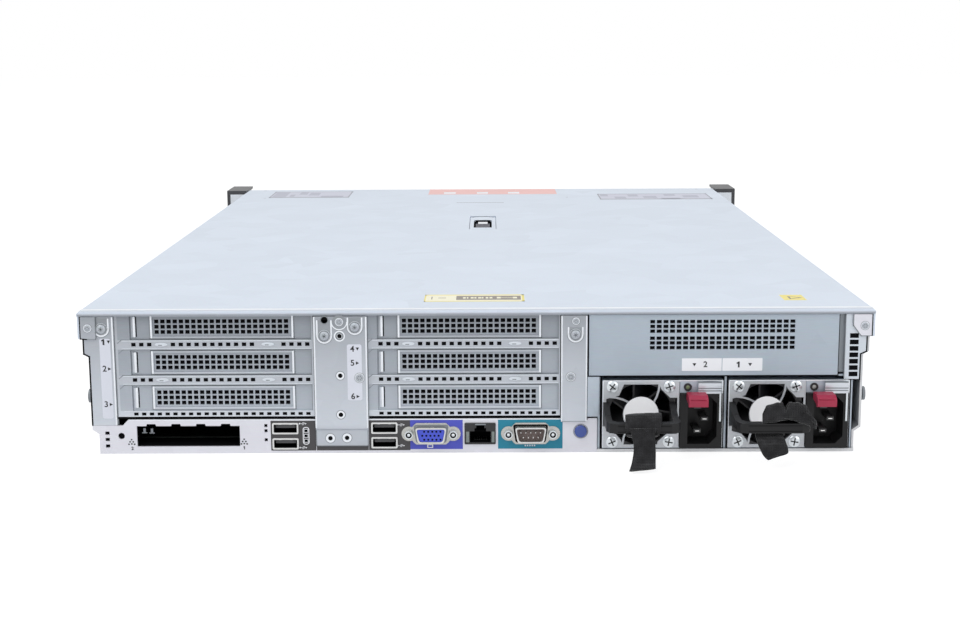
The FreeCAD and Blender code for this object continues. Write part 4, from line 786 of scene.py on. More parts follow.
def port_prints():
    """The coloured fields printed round the connectors, with plain marks."""
    charcoal, blue, teal, marks, lights, icons = meshes(6, y=REAR - 0.08)
    upper, lower, *others = (rounded(x, x + 14.6, z, z + 6.3, 0.3, 2) for x, z in USB_PLACES)
    charcoal.cutout(rounded(-116.2, -90.6, 1.5, 18.9, 0.4, 2), [lower, upper], 0, 0.04)
    charcoal.cutout(box_outline(-60.7, -37.3, 1.5, 19), others[::-1], 0, 0.04)
    charcoal.cutout(box_outline(-90.3, -60.9, 1.5, 4.1), [], 0, 0.04)
    charcoal.piece("usb_print", CHARCOAL, 0)
    blue.cutout(box_outline(-37.3, -7.6, 2.1, 19.4), D_OPENINGS[:1], 0, 0.04)
    blue.piece("video_print", BLUE, 0)
    teal.cutout(box_outline(12.3, 48.8, 2.2, 19.4), D_OPENINGS[1:], 0, 0.04)
    teal.piece("serial_print", TEAL, 0)
    marks.cutout(rounded(-98.1, -94.4, 5, 15.2, 1.5), [rounded(-97.7, -94.8, 5.4, 14.8, 1.2)],
                 -0.03, 0)
    for z in (7.2, 10.1, 13):
        lights.slab(-97.2, -95.3, -0.05, 0, z - 0.75, z + 0.75)
        marks.cutout(rounded(-97.5, -95, z - 1.05, z + 1.05, 0.1, 1),
                     [rounded(-97.2, -95.3, z - 0.8, z + 0.8, 0.1, 1)], -0.04, -0.005)
    for x, z in ((-98, 17.2), (-98, 3.2), (-42.6, 16.3), (-42.6, 4.2)):
        marks.slab(x - 1.6, x + 1.5, -0.03, 0, z - 0.12, z + 0.12)
        marks.prism([(x + 1.4, z - 0.45), (x + 2.2, z), (x + 1.4, z + 0.45)], -0.03, 0)
        marks.prism(circle_outline(x - 1.8, z, 0.45, 12), -0.03, 0)
        marks.slab(x - 0.2, x + 1, -0.03, 0, z + 0.5, z + 0.72)
        marks.slab(x - 0.5, x + 0.6, -0.03, 0, z - 0.72, z - 0.5)
    marks.cutout(rounded(-27.8, -24.4, 2.8, 4.9, 0.3, 2), [rounded(-27.2, -25, 3.3, 4.4, 0.2, 2)],
                 -0.03, 0)
    marks.row(5, (1.3, 0, 0), 27.4, 28.1, -0.03, 0, 3.6, 4.4)
    marks.piece("port_marks", WHITE_PRINT_AND_HIGHLIGHT, 0)
    lights.piece("port_light_windows", DARK, 0)
    for x in (-195.2, -131.4):
        for dx, z in ((0, 8.2), (-0.9, 6.9), (0.9, 6.9), (-1.6, 5.5), (0, 5.7), (1.6, 5.5)):
            icons.block(x + dx, 0.45, 0, 0.04, z, 0.42)
    icons.piece("network_marks", INK_AND_SHADE, 0)
    number("network_number_2", "2", -194.9, REAR - 0.04, 3, 2.6)
    number("network_number_1", "1", -131.4, REAR - 0.04, 3.2, 2.6)


def dark_backs():
    """Black sheets of painted shade: unlit depth behind the small openings of the rear wall, and a lining of it
    in the adapter bay.
    """
    backs, marks, bay = meshes(3, y=high("rear_panel").y + 0.15)
    for x, z, wide, tall in ((-208.8, 8.3, 2, 6), (-118.9, 12, 2, 6), (-200.8, 10.3, 2.2, 2.2)):
        backs.block(x, wide, 0, 0.4, z, tall)
    backs.origin = 0, low("corner_flange").y, 0
    backs.slab(208.4, 214.4, 2.35, 2.6, 43.2, 68.6)
    backs.piece("dark_backs", DARK, 0)
    for x, z in ((-188.4, 13.6), (-184.2, 13.4)):
        marks.slab(x - 0.7, x + 0.7, 2, 2.4, z - 2, z + 0.4, 0.15)
        marks.slab(x - 1.5, x + 1.5, 2, 2.5, z - 2.6, z - 2, 0.15)
    marks.piece("card_bay_clips", SHADE_AND_DARK_STEEL, slot="shell_steel")
    bay.slab(-193.4, -132.4, 39, 39.4, 4.4, 18.6)
    bay.row(2, (0, 0, 14.4), -193.4, -132.4, 0.4, 39.4, 4.2, 4.4)
    bay.row(2, (61.2, 0, 0), -193.6, -193.4, 0.4, 39.4, 4.2, 18.8)
    bay.piece("card_bay_depth", DARK, 0)


def usb_details():
    """Dark throats of painted shade, tongues with contacts and thin shell rims of the four sockets."""
    group = rims, throats, tongues, contacts = meshes(4)
    for x, z in USB_PLACES:
        for mesh in group:
            mesh.origin = x, low("usb_ports").y, z
        rims.cutout(rounded(-0.1, 14.7, -0.1, 6.4, 0.8), [rounded(0.75, 13.85, 0.72, 5.58, 0.5)],
                    -0.2, 0.5)
        throats.slab(0.65, 13.95, 9, 9.4, 0.65, 5.65)
        throats.row(2, (13.32, 0, 0), 0.62, 0.66, 0.4, 9, 0.65, 5.65)
        throats.row(2, (0, 0, 5.02), 0.7, 13.9, 0.4, 9, 0.62, 0.66)
        tongues.slab(1.6, 13, 1.7, 15.5, 3.1, 4.9, 0.2)
        contacts.row(4, (2.5, 0, 0), 2.6, 3.6, 2.4, 9, 3.02, 3.1)
        rims.row(2, (6.2, 0, 0), 3.4, 5, 0.6, 5.5, 5.2, 5.66, 0.15)
    rims.piece("usb_rims", RIM_STEEL, slot="shell_steel")
    throats.piece("usb_throats", DARK, 0, "shell_steel")
    tongues.piece("usb_tongues", TONGUE, slot="handle_plastic")
    contacts.piece("usb_contacts", GOLD, 0, "shell_steel")


def d_socket(label, filled):
    """A D-sub connector: rounded flange and shell, insert with contacts, and jackscrews."""
    x, _, z = middle_of(label)
    tip = low(label).y - REAR
    steel, shadow, rim, insert, contacts, nuts, threads = meshes(7, x, REAR, z)
    half = [(8.4, 6.3), (9.8, 5.1), (10.7, 3.95)]
    for step in range(100, -101, -20):
        angle = math.radians(step)
        half.append((12.5 + 4.3 * math.cos(angle), 4.3 * math.sin(angle)))
    half += [(10.7, -3.95), (9.8, -5.1), (8.4, -6.3)]
    steel.prism(half + [(-a, b) for a, b in reversed(half)], -0.8, -0.08, 0.25)
    mouth = [d_shape(0, 0, 8.1, 3.7)]
    steel.cutout(d_shape(0, 0, 8.8, 4.35), mouth, tip + 0.05, -0.8)
    shell = steel.piece(label + "_shell", SHELL, slot="shell_steel")
    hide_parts(label)
    # Painted shade: a groove round the shell.
    shadow.cutout(d_shape(0, 0, 10, 5.3), [d_shape(0, 0, 8.9, 4.4)], -0.9, -0.82)
    shadow.piece(label + "_shell_groove", SHADE_AND_DARK_STEEL if filled else DARK, 0, "shell_steel")
    rim.cutout(d_shape(0, 0, 8.85, 4.4), mouth, tip + 0.02, tip + 0.5)
    rim.piece(label + "_shell_rim", RIM_STEEL, slot="shell_steel")
    face = tip + (0.5 if filled else 5)
    insert.prism(d_shape(0, 0, 8.05, 3.65), face, -0.9)
    if filled:
        insert.piece(label + "_insert", INSERT_BLUE, 40, "blue_connector")
        for row, start in enumerate((-3.75, -4.8, -3.75)):
            for i in range(5):
                contacts.disc(start + i * 2.29, 2.3 - row * 2.3, 0.62, face + 0.1, face - 0.02, 12)
        # The contact holes are dark dots of painted shade.
        contacts.piece(label + "_contacts", DARK, slot="shell_steel")
    else:
        insert.piece(label + "_insert", INSERT_BROWN, 40, "handle_plastic")
        for i in range(9):
            across, up = ((i - 2) * 2.77, 1.42) if i < 5 else ((i - 6.5) * 2.77, -1.42)
            contacts.turned(across, up, ((0.5, face), (0.5, tip + 1.2), (0.25, tip + 0.7)), 12)
        contacts.piece(label + "_contacts", STEEL_PIN, slot="shell_steel")
    for side in (-12.5, 12.5):
        nuts.prism(circle_outline(side, 0, 2.5, 6, start=10), -3.9, -0.7, 0.3)
        nuts.ring(side, 0, 1.75, 2.3, -4.3, -3.8, 20)
        threads.disc(side, 0, 1.75, -3.7, -4.05, 16)
        nuts.turned(side, 0, ((0.95, -4), (0.6, -4.25)), 12)
    nuts.piece(label + "_jackscrews", SCREW, slot="shell_steel")
    # The jackscrew bores are painted shade.
    threads.piece(label + "_jackscrew_bores", DARK, slot="shell_steel")


def network_details():
    """Black frame, grey side walls, throat, latch channel and contacts of the network jack, with the throat and
    contacts darkened as painted shade.
    """
    throat, surround, walls, contacts, spring = meshes(5, y=low("network_port").y)
    throat.slab(-3.55, 8.15, 12, 12.4, 6.05, 12.55)
    throat.slab(0.05, 4.55, 12, 12.4, 12.55, 16.1)
    throat.row(2, (0, 0, 6.48), -3.5, 8.1, 0.1, 12, 6.02, 6.06)
    throat.row(2, (11.72, 0, 0), -3.58, -3.54, 0.1, 12, 6.1, 12.5)
    mouth = [(-3.6, 6), (8.2, 6), (8.2, 12.6), (5.6, 12.6), (5.6, 14.4), (4.6, 14.4), (4.6, 16.2),
             (0, 16.2), (0, 14.4), (-1, 14.4), (-1, 12.6), (-3.6, 12.6)]
    surround.cutout(rounded(-6.6, 11, 5, 17.4, 0.6), [mouth], -0.25, 0.05)
    for x0, x1 in ((-5.7, -4), (8.7, 10.3)):
        walls.slab(x0, x1, -0.45, -0.2, 6.2, 12.4, 0.12)
        walls.slab(x0 + 0.4, x1 - 0.3, -0.7, -0.4, 8, 11.4, 0.2)
    contacts.row(8, (1.02, 0, 0), -1.45, -1.05, 5, 11.8, 6.3, 6.6)
    surround.piece("network_frame", BLACK, slot="handle_plastic")
    walls.piece("network_side_walls", JACK_GREY, slot="shell_steel")
    throat.piece("network_throat", DARK, 0, "shell_steel")
    contacts.piece("network_contacts", SHADED_PIN, 0, "shell_steel")
    spring.slab(-0.6, 5.4, -0.5, -0.2, 16.2, 17, 0.15)
    spring.piece("network_spring", SHADE_AND_DARK_STEEL, slot="shell_steel")


def id_button_details():
    x, _, z = middle_of("id_button")
    dome = Mesh(y=low("id_button").y)
    dome.turned(x, z, ((3.43, 5), (3.43, 0.55), (3.1, 0.2), (2.2, 0.06), (0.8, 0.02)), 40)
    cap = dome.piece("id_button_cap", ID_BLUE, 35, "button_plastic", "id_button")
    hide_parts("id_button")
    Mesh(y=REAR).ring(x, z, 3.62, 4.3, -0.1, 0.02).piece("id_button_rim", GREY_PRINT_AND_SHADE)


def supply_labels():
    """The two plain white plates above the supplies, each with its number and pointer."""
    face = low("vent_panel").y
    plates, points = meshes(2, y=face)
    for label, x, x0, x1, tip in (("2", 128.6, 115.4, 137.7, 122.4),
                                  ("1", 147.2, 138.1, 160.5, 153.6)):
        plates.prism(rounded(x0, x1, 46.9, 54.1, 0.3, 2), -0.12, -0.01)
        number("supply_number_" + label, label, x, face - 0.12, 50.5, 4.6, "vent_sheet")
        points.prism([(tip - 1.1, 51.3), (tip + 1.1, 51.3), (tip, 49.5)], -0.16, -0.13)
    plates.piece("supply_label_plates", WHITE_PRINT_AND_HIGHLIGHT, 0, "vent_sheet")
    points.piece("supply_label_pointers", INK_AND_SHADE, 0, "vent_sheet")


# ------------------------------------------------------------------ power supplies
def supply_details(index):
    """Screws, disc, lamp, inlet pins, latch, tab ribs, bright edges and grip of one supply; painted shade in the
    screw recesses, on the pins and between the latch ribs, and painted highlights on the bright edges.
    """
    body, release = f"psu_{index}", f"psu_{index}_release"
    left, face, base = low(body + "_case")
    heads, slots, disc, ring, glow, pins, tips, rims = meshes(8, left, face, base)
    latch, lines = meshes(2, left, low(body + "_latch").y, base)

    def dress(mesh, name, material, smooth, slot, rides=body):
        mesh.piece(f"supply_{index}_{name}", material, smooth, slot, rides)

    for i, (x, z) in enumerate(((5.4, 3.8), (5.4, 35.8), (37.4, 3.8), (37.4, 35.8))):
        heads.turned(x, z, ((3.3, -0.9), (3.3, -1.5), (2.8, -1.95), (1.2, -2.2)), 28)
        for angle in (0.4 + i * 0.5, 0.4 + i * 0.5 + math.pi / 2):
            slots.prism(bar_outline(x, z, 2.2, 0.36, angle), -2.26, -1.7)
    dress(heads, "screw_heads", SCREW, 35, "screw_steel")
    # The black cross recesses are painted shade.
    dress(slots, "screw_recesses", INK_AND_SHADE, 0, "screw_steel")
    dress(disc.disc(21.6, 20.1, 9.8, -1, -1.08, 48), "fan_label", DISC_WHITE, 0, "zinc_sheet")
    ring.ring(47.8, 35.2, 1.2, 2.3, -0.5, 0.3, 28)
    dress(ring, "lamp_ring", BLACK, 35, "handle_plastic")
    glow.turned(47.8, 35.2, ((1.2, 0.6), (1.2, -0.1), (0.7, -0.4)), 24)
    dress(glow, "lamp", LED_GREY if index == 1 else LED_OLIVE, 35, "handle_plastic")
    # The pins are darkened as painted shade; only their tips are bright steel.
    for x, z in ((53.7, 23.5), (57.7, 16.5), (53.7, 9.5)):
        pins.block(x, 2.06, 0.9, 14.9, z, 1.06, 0.3)
        tips.block(x, 1.1, 0.82, 0.95, z, 0.24, 0.05)
    dress(pins, "pins", SHADED_PIN, 35, "shell_steel")
    dress(tips, "pin_tips", STEEL_PIN, 35, "shell_steel")
    for z0, z1, out in ((32.2, 33.3, 0.2), (33.9, 34.7, 0.1), (35.3, 38, 0.3)):
        latch.slab(53.5, 66.2, -out, 0.4, z0, z1, 0.15)
    dress(latch, "latch_ribs", RIDGE, 35, "screw_steel", release)
    # Dark lines of painted shade between the latch ribs.
    for z0, z1 in ((33.3, 33.9), (34.7, 35.3), (38, 38.7)):
        lines.slab(53.3, 66.4, -0.06, 0.3, z0, z1)
    dress(lines, "latch_shade_lines", SHADE_AND_DARK_STEEL, 0, "screw_steel", release)
    tab, tab_end = low(body + "_release_tab"), high(body + "_release_tab").x
    ribs = Mesh(*tab).row(5, (0, 0, 1), 0.8, tab_end - tab.x - 0.8, -0.02, 1.2, 0.8, 1.25, 0.2)
    dress(ribs, "tab_ribs", MAROON, 35, "maroon_plastic", release)
    # Painted highlight along the case's edges.
    rims.row(2, (67, 0, 0), -0.1, 0.7, -0.5, 2.5, 0.3, 39, 0.3)
    rims.slab(0.4, 67, -0.4, 1.6, 38.5, 39.2, 0.25)
    dress(rims, "case_rim_highlights", FOLD_HIGHLIGHT, 35, "zinc_sheet")
    grips = Mesh(left, low(body + "_handle").y, base)
    grips.row(2, (0, 0, 3.2), 5.8, 35.4, 0, 0.5, 17.75, 18.45, 0.2)
    dress(grips, "handle_ribs", HANDLE, 35, "handle_plastic")


# ------------------------------------------------------------------ straps
def smooth_path(points, steps=8):
    """Catmull-Rom points through a route."""
    route = [Vector(p) for p in points]
    out = []
    for i in range(len(route) - 1):
        a, b = route[max(i - 1, 0)], route[i]
        c, d = route[i + 1], route[min(i + 2, len(route) - 1)]
        for k in range(steps):
            t = k / steps
            out.append(0.5 * ((2 * b) + (c - a) * t + (2 * a - 5 * b + 4 * c - d) * t * t
                              + (3 * b - a - 3 * c + d) * t ** 3))
    out.append(route[-1])
    return out


def ribbon(mesh, points, widths, thick, side=(1, 0, 0), skew=0, wave=0.25, seed=1, across=10):
    """A band of tape along a route: its face waves a little and its edges are thinner."""
    path = smooth_path(points)
    count, size = len(path), 2 * (across + 1)
    verts, faces = [], []
    for i, centre in enumerate(path):
        t = i / (count - 1)
        tangent = (path[min(i + 1, count - 1)] - path[max(i - 1, 0)]).normalized()
        lateral = (Vector(side) - tangent * Vector(side).dot(tangent)).normalized()
        normal = tangent.cross(lateral).normalized()
        at = t * (len(widths) - 1)
        k = min(int(at), len(widths) - 2)
        width = widths[k] + (widths[k + 1] - widths[k]) * (at - k)
        tops, unders = [], []
        for j in range(across + 1):
            s = j / across - 0.5
            edge = 1 - max(0, abs(s) * 2 - 0.86) / 0.14 * 0.5
            bump = wave * noise.noise(Vector((s * 3.1 + seed, t * 7, seed * 2.3)))
            here = centre + lateral * (s * width) + tangent * (skew * s * t) + normal * bump
            tops.append(here + normal * thick / 2 * edge)
            unders.append(here - normal * thick / 2 * edge)
        verts += tops + unders[::-1]
    for start in range(0, (count - 1) * size, size):
        for j in range(size):
            k = (j + 1) % size
            faces.append((start + j, start + k, start + size + k, start + size + j))
    for start in (0, (count - 1) * size):
        for j in range(across):
            faces.append((start + j, start + j + 1, start + size - 2 - j, start + size - 1 - j))
    mesh.add(verts, faces)


def strap_mesh(supply, across):
    """An empty mesh that counts from the middle of a supply's pull bar."""
    case = low(supply + "_case")
    return Mesh(case.x + across, low(supply + "_handle").y + 2.7, case.z + 19.8)


def strap_hanging():
    """Supply 2: a strap wrapped round the bar, its flat tail hanging and turned a little out."""
    band = strap_mesh("psu_2", 19.6)
    loop = [(0, -3.6, -1.5), (0, -3.7, 1.6), (0.2, -3.2, 5.6), (0.3, -0.4, 7.6), (0.2, 3.2, 5.2),
            (0, 3.7, 0.4), (-0.2, 2.8, -3.4), (-0.3, -1.6, -4.3), (-0.4, -4.4, -2.6)]
    ribbon(band, loop, (18.5, 20, 19, 16.5, 16.5), 1.1, wave=0.9, seed=3.2)
    tail = [(0.1, -4.4, 0.8), (0.2, -5, -2.8), (0.6, -6, -7.5), (0.5, -7.6, -12.5),
            (-0.2, -10.2, -17.2), (-1, -13.2, -20)]
    ribbon(band, tail, (15, 12, 11.8, 12.6, 13.8), 1.3, wave=0.35, seed=8.1, skew=-4.4)
    strap = band.piece("strap_hanging", STRAP, 60, "strap_fabric", "psu_2")
    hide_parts("psu_2_strap")


def strap_bunched():
    """Supply 1: a strap crumpled over the bar in two peaks, with a thin loop and a short tail."""
    band = strap_mesh("psu_1", 20.6)
    first = [(1, 3.2, -2.5), (1, 4, 3), (0.6, 1, 5), (0.2, -2.4, 4.4), (-0.4, -3, 8.6),
             (-0.2, -0.6, 12.6), (0.6, 3, 8), (1, 4.2, 3.6)]
    ribbon(band, first, (11, 13, 14.5, 15, 14, 8, 11, 12), 1.2, (1, 0, 0.26), wave=1.1, seed=5.5)
    second = [(10.8, 3.4, -1), (11, 4, 4), (11.2, 0.6, 5.2), (11.4, -2.8, 4.2), (11.8, -3.8, 8.4),
              (11.6, -1, 13.4), (11.4, 3, 9), (11.2, 4.2, 4.2)]
    ribbon(band, second, (10, 12, 13, 15.5, 14.5, 8.5, 11, 11), 1.2, (1, 0, -0.3),
           wave=1.2, seed=9.4)
    loop = [(14.5, -3.6, 8), (18.4, -4.6, 6.6), (21.4, -4.6, 3), (20.8, -3.6, 0.6)]
    ribbon(band, loop, (3.6, 2, 1.6, 2.2), 0.9, (0, 0.3, 1), wave=0.3, seed=4.4)
    tail = [(-3, 3.4, 1), (-3, 3, -3), (-2.8, -0.4, -5.4), (-1.8, -4, -8.4), (-0.2, -5.8, -12),
            (1.2, -6, -14.8)]
    ribbon(band, tail, (13, 14, 14.8, 15, 14, 11.5), 1.3, (1, 0, 0.06),
           skew=1.6, wave=1.1, seed=2.7)
    strap = band.piece("strap_bunched", STRAP, 60, "strap_fabric", "psu_1")
    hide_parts("psu_1_strap")


# ------------------------------------------------------------------ hood and front
def hood_details():
    """Printed plates, pressings, and the painted highlight and painted shade of the hood's rear edge."""
    group = meshes(11, z=high("hood").z)
    pale, yellow, taupe, grey, outline, red, white, drawn, marks, lip, shaded = group
    thin = 0.02
    for mesh, x0, x1, y0, y1, rise in (
        (pale, -29.4, 27.4, -296.2, -275.8, thin), (yellow, -30, 28, -276.4, -274.2, 2 * thin),
        (yellow, -30, 28, -297.4, -295.6, 2 * thin), (yellow, 26.6, 28, -297.4, -274.2, 2 * thin),
        (yellow, -30, -29.2, -297.4, -274.2, 2 * thin), (yellow, 177, 190, -297, -279, thin),
        (red, -48.7, 71, 279, 324.6, thin), (white, -34.5, -23.4, 284.5, 298.5, 2 * thin),
        (white, -3.5, 6.9, 284.5, 298.5, 2 * thin), (white, 25.6, 36.3, 284.5, 298.5, 2 * thin),
        # The pressed groove, drawn flat as a grey line of painted shade.
        (marks, -21, 21, 209.6, 212, thin),
    ):
        mesh.slab(x0, x1, y0, y1, -0.05, rise)
    taupe.turned(183.5, -288.6, ((5.4, -0.05), (5.4, 0.04)), 3, axis="z")
    yellow.turned(183.5, -288.6, ((3.2, -0.05), (3.2, 0.06)), 3, axis="z")
    for x0, x1, y0, y1 in ((-11.5, 26, -292, -278.6), (-26, -25.4, -290, -281),
                           (-22, -17.5, -286, -284.6)):
        taupe.slab(x0, x1, y0, y1, -0.05, 0.05)
    for i, wide in enumerate((1.6, 0.9, 1.8, 1.2, 1.9, 0.9, 1.5, 1.7)):
        pale.slab(i * 2.2 - 7.6, i * 2.2 - 7.6 + wide, -287.6, -283, -0.05, 0.07)
    pale.slab(14, 21.6, -285.7, -284.7, -0.05, 0.07)
    for x in (13.2, 22.6):
        pale.slab(x - 1.2, x + 1.2, -287.6, -282.6, -0.05, 0.07, 0.03)
    for x0, x1, y0, y1, *blocks in (
        (-194.6, -121, 256.6, 308.6, (0.03, 0.2, 0.1, 0.9), (0.24, 0.3, 0.15, 0.5),
         (0.34, 0.44, 0.5, 0.9), (0.47, 0.6, 0.35, 0.8), (0.64, 0.92, 0.08, 0.3)),
        (108.2, 209.6, 231, 278, (0.02, 0.09, 0.55, 0.9), (0.14, 0.24, 0.15, 0.5),
         (0.27, 0.36, 0.5, 0.85), (0.4, 0.52, 0.2, 0.6), (0.55, 0.72, 0.06, 0.24),
         (0.6, 0.7, 0.6, 0.9), (0.76, 0.9, 0.3, 0.7)),
    ):
        wide, deep = x1 - x0, y1 - y0
        grey.slab(x0, x1, y0, y1, -0.05, thin)
        for a0, a1, b0, b1 in ((x0, x1, y0, y0 + 5), (x0, x1, y1 - 3, y1), (x0, x0 + 1.2, y0, y1),
                               (x1 - 1.2, x1, y0, y1)):
            outline.slab(a0, a1, b0, b1, -0.05, 0.03)
        for u0, u1, v0, v1 in blocks:
            drawn.slab(x0 + u0 * wide, x0 + u1 * wide, y0 + v0 * deep, y0 + v1 * deep, -0.05, 0.03)
    for x, y in ((-197.5, 253.5), (79.1, 251.2), (206, 318), (-206, 318)):
        marks.turned(x, y, ((1.1, -0.05), (1.1, thin)), 20, axis="z")
    rear, face = low("hood").y, 79.45 - high("hood").z
    # A painted highlight a little in from the hood's rear edge, and painted shade between it and the edge and
    # down the lip.
    lip.slab(-222, 222, rear + 4.6, rear + 8.6, -0.06, 0.04, 0.02)
    shaded.slab(-221.6, 221.6, rear + 1.2, rear + 4.5, -0.05, 0.015)
    shaded.slab(-222.4, 222.4, rear - 0.03, rear + 0.02, face, -1)
    for mesh, name, material in (
        (pale, "caution_field", PALE_YELLOW), (yellow, "yellow_borders", YELLOW),
        (taupe, "taupe_field", TAUPE), (grey, "grey_fields", LILAC_PRINT),
        (outline, "grey_borders", GREY_PRINT_AND_SHADE), (drawn, "grey_blocks", BLOCK_PRINT),
        (red, "red_field", PALE_RED), (white, "red_field_gaps", WHITE_PRINT_AND_HIGHLIGHT),
        (marks, "pressings", GREY_PRINT_AND_SHADE), (lip, "edge_highlight", FOLD_HIGHLIGHT),
        (shaded, "lip_face_shade", LIP_SHADE),
    ):
        mesh.piece("hood_" + name, material, 35 if mesh is lip else 0, "hood_sheet", "hood")


def latch_details():
    """The hood latch's grip: a cup with black sides and an arc of painted shade, a white ledge of painted
    highlight and a ribbed thumb plate.
    """
    middle, top = middle_of("hood_latch").x, high("hood_latch").z
    black, bright, grey = meshes(3, middle, 0, top)
    black.row(2, (12.65, 0, 0), -7.05, -5.6, 36.2, 74, -1.4, -0.05, 0.2)
    black.slab(-6, 6, 74, 83.8, -1.5, -0.1, 0.3)
    bright.slab(-3.8, 3.8, 63, 73.8, -1.3, -0.3, 0.3)
    grey.slab(-5.6, 5.6, 36.4, 62.6, -1.5, -0.45, 0.3)
    grey.row(6, (0, 4.2, 0), -4.6, 4.6, 39, 40.4, -1, -0.25, 0.3)
    arc = []
    for i in range(13):
        angle = math.radians(20 + 140 * i / 12)
        arc.append((9.2 * math.cos(angle), 97 + 9 * math.sin(angle)))
    for (xa, ya), (xb, yb) in zip(arc, arc[1:]):
        corners = [(x, y, z) for z in (-0.05, 0.03)
                   for x, y in ((xa, ya), (xb, yb), (xb, yb + 1.6), (xa, ya + 1.6))]
        black.add(corners, [(0, 1, 2, 3), (7, 6, 5, 4), (0, 4, 5, 1), (1, 5, 6, 2),
                            (2, 6, 7, 3), (3, 7, 4, 0)])
    black.piece("latch_grip_shade_sides", DARK, 35, "handle_plastic", "hood_latch")
    bright.piece("latch_grip_highlight", WHITE_PRINT_AND_HIGHLIGHT, 35, "hood_sheet", "hood_latch")
    grey.piece("latch_thumb_plate", THUMB_GREY, 35, "screw_steel", "hood_latch")


def drive_details():
    """Air holes drawn as painted shade and grips of the drive bays and fillers, painted shade behind the fillers,
    and the ring of the power button.
    """
    holes, grips = meshes(2, low("bay_blanks").x + 7.55, high("bay_blanks").y)
    bay_pitch = 16.5
    for i in range(7):
        x = i * bay_pitch
        for row in range(13):
            sideways = 1.15 if row % 2 else -1.15
            for across in (-2.3, 2.3):
                outline = circle_outline(x + across + sideways, 15 + row * 4.3, 1.75, 6)
                holes.prism(outline, -0.3, 0.03)
        grips.slab(x - 5.4, x + 5.4, -0.3, 0.5, 5.4, 9.6, 0.35)
        for edge in (x - 7.4, x + 6.8):
            grips.slab(edge, edge + 0.6, -0.3, 0.35, 4.6, 76.8, 0.2)
    middle = middle_of("drive_carrier").x
    holes.origin = middle, high("drive_carrier").y, 0
    for row in range(3):
        for across in (-4.2, 0, 4.2):
            holes.prism(circle_outline(across, 69.4 + row * 2.9, 1.1, 6), -0.3, 0.03)
    grips.piece("bay_grips", DRIVE, slot="drive_plastic")
    holes.piece("bay_air_holes", DARK, 0, "drive_plastic")
    ribs = Mesh(middle, high("drive_lever").y)
    ribs.row(7, (0, 0, 2.1), -4.4, 4, -1.1, 0.15, 46, 46.9, 0.3)
    ribs.slab(-3.2, 2.8, -1.6, 0.1, 12, 26, 0.4)
    ribs.piece("drive_lever_ribs", DRIVE, 35, "drive_plastic", "drive_lever")
    filler = low("front_fillers")
    rims, backs = Mesh(filler.x, high("front_fillers").y), Mesh(filler.x, filler.y)
    for x in (0, 138):
        rims.cutout(rounded(x + 0.4, x + 131.2, 4, 77.4, 1.6),
                    [rounded(x + 3, x + 128.6, 6.6, 74.8, 1.4)], -0.3, 0.6)
        backs.slab(x + 6, x + 125.6, 0.1, 0.4, 8, 75)
        rims.row(10, (0, 0, 6.6), x + 7.4, x + 124.2, -0.4, 0.35, 12.35, 13.15, 0.25)
    rims.piece("filler_rims", DRIVE, slot="drive_plastic")
    backs.piece("filler_depth", DARK, 0, "drive_plastic")
    x, _, z = middle_of("power_button")
    ring = Mesh(x, high("power_button").y, z).ring(0, 0, 3.3, 4.2, -1.8, -1.2)
    ring.ring(0, 0, 1.1, 1.5, -0.1, 0.04, 28, 120, 300)
    ring.slab(-0.2, 0.2, -0.1, 0.04, 0.5, 1.8, 0.04)
    ring.piece("power_button_ring", SCREW, 35, "button_plastic", "power_button")


def ear_details():
    """A rim and thumb ribs on the ear levers, and the ends of the pins they turn on."""
    for side, name in ((-1, "left"), (1, "right")):
        lever = "ear_lever_" + name
        ribs, pins = Mesh(side * 233.6, high(lever).y), Mesh()
        ribs.cutout(rounded(-4.6, 4.6, 18, 66, 1.6), [rounded(-3.8, 3.8, 18.8, 65.2, 1.2)], -0.4, 0)
        ribs.row(9, (0, 0, 2.4), -3.2, 3.2, -0.6, -0.02, 22, 23.1, 0.3)
        ribs.piece(lever + "_ribs", BLACK, 35, "ear_plastic", lever)
        for z in (0.05, 82.2):
            pins.turned(side * 228.5, 347.5, ((1.4, z), (1.4, z + 0.5), (1.1, z + 0.7)), 20,
                        axis="z")
        pins.piece(f"ear_{name}_pin_ends", SCREW, slot="ear_plastic")


def side_details():
    """Rivets and pressed dimples along both side walls, and the heads of the rail studs."""
    rivets, dimples, heads = meshes(3)
    wall, shoulder, stud = 217, 220.2, high("rail_studs").x
    stud_places = low("rail_studs").y + 4, high("rail_studs").y - 4
    for side in (-1, 1):
        for mesh, places, z, out, profile, count in (
            (rivets, (-296, -214, -118, -22, 74, 170, 292), 24, wall,
             ((2.4, -0.1), (2.3, 0.35), (1.4, 0.75)), 24),
            (dimples, (-260, -160, -60, 40, 140), 46, wall,
             ((3.2, -0.1), (3, 0.12), (1.4, 0.05)), 28),
            (rivets, (-306, 306), 62, shoulder, ((1.9, -0.1), (1.8, 0.3), (1, 0.55)), 24),
            (heads, stud_places, 31, stud,
             ((3.7, -0.3), (3.6, 0.1), (2.6, 0.2), (0.8, 0.05)), 28),
        ):
            for y in places:
                steps = [(r, side * (out + rise)) for r, rise in profile]
                mesh.turned(y, z, steps, count, axis="x")
    rivets.piece("side_rivets", DULL_SCREW, slot="screw_steel")
    heads.piece("stud_faces", SHADE_AND_DARK_STEEL, slot="screw_steel")
    dimples.piece("side_dimples", UPRIGHT)


joint_lines()
vent_bars()
strip_squares()
blank_trims()
number_strips()
rear_fastener_details()
bright_folds()
band_cover()
port_prints()
dark_backs()
usb_details()
d_socket("video_port", True)
d_socket("serial_port", False)
network_details()
id_button_details()
supply_labels()
for supply_index in (1, 2):
    supply_details(supply_index)
strap_hanging()
strap_bunched()
hood_details()
latch_details()
drive_details()
ear_details()
side_details()


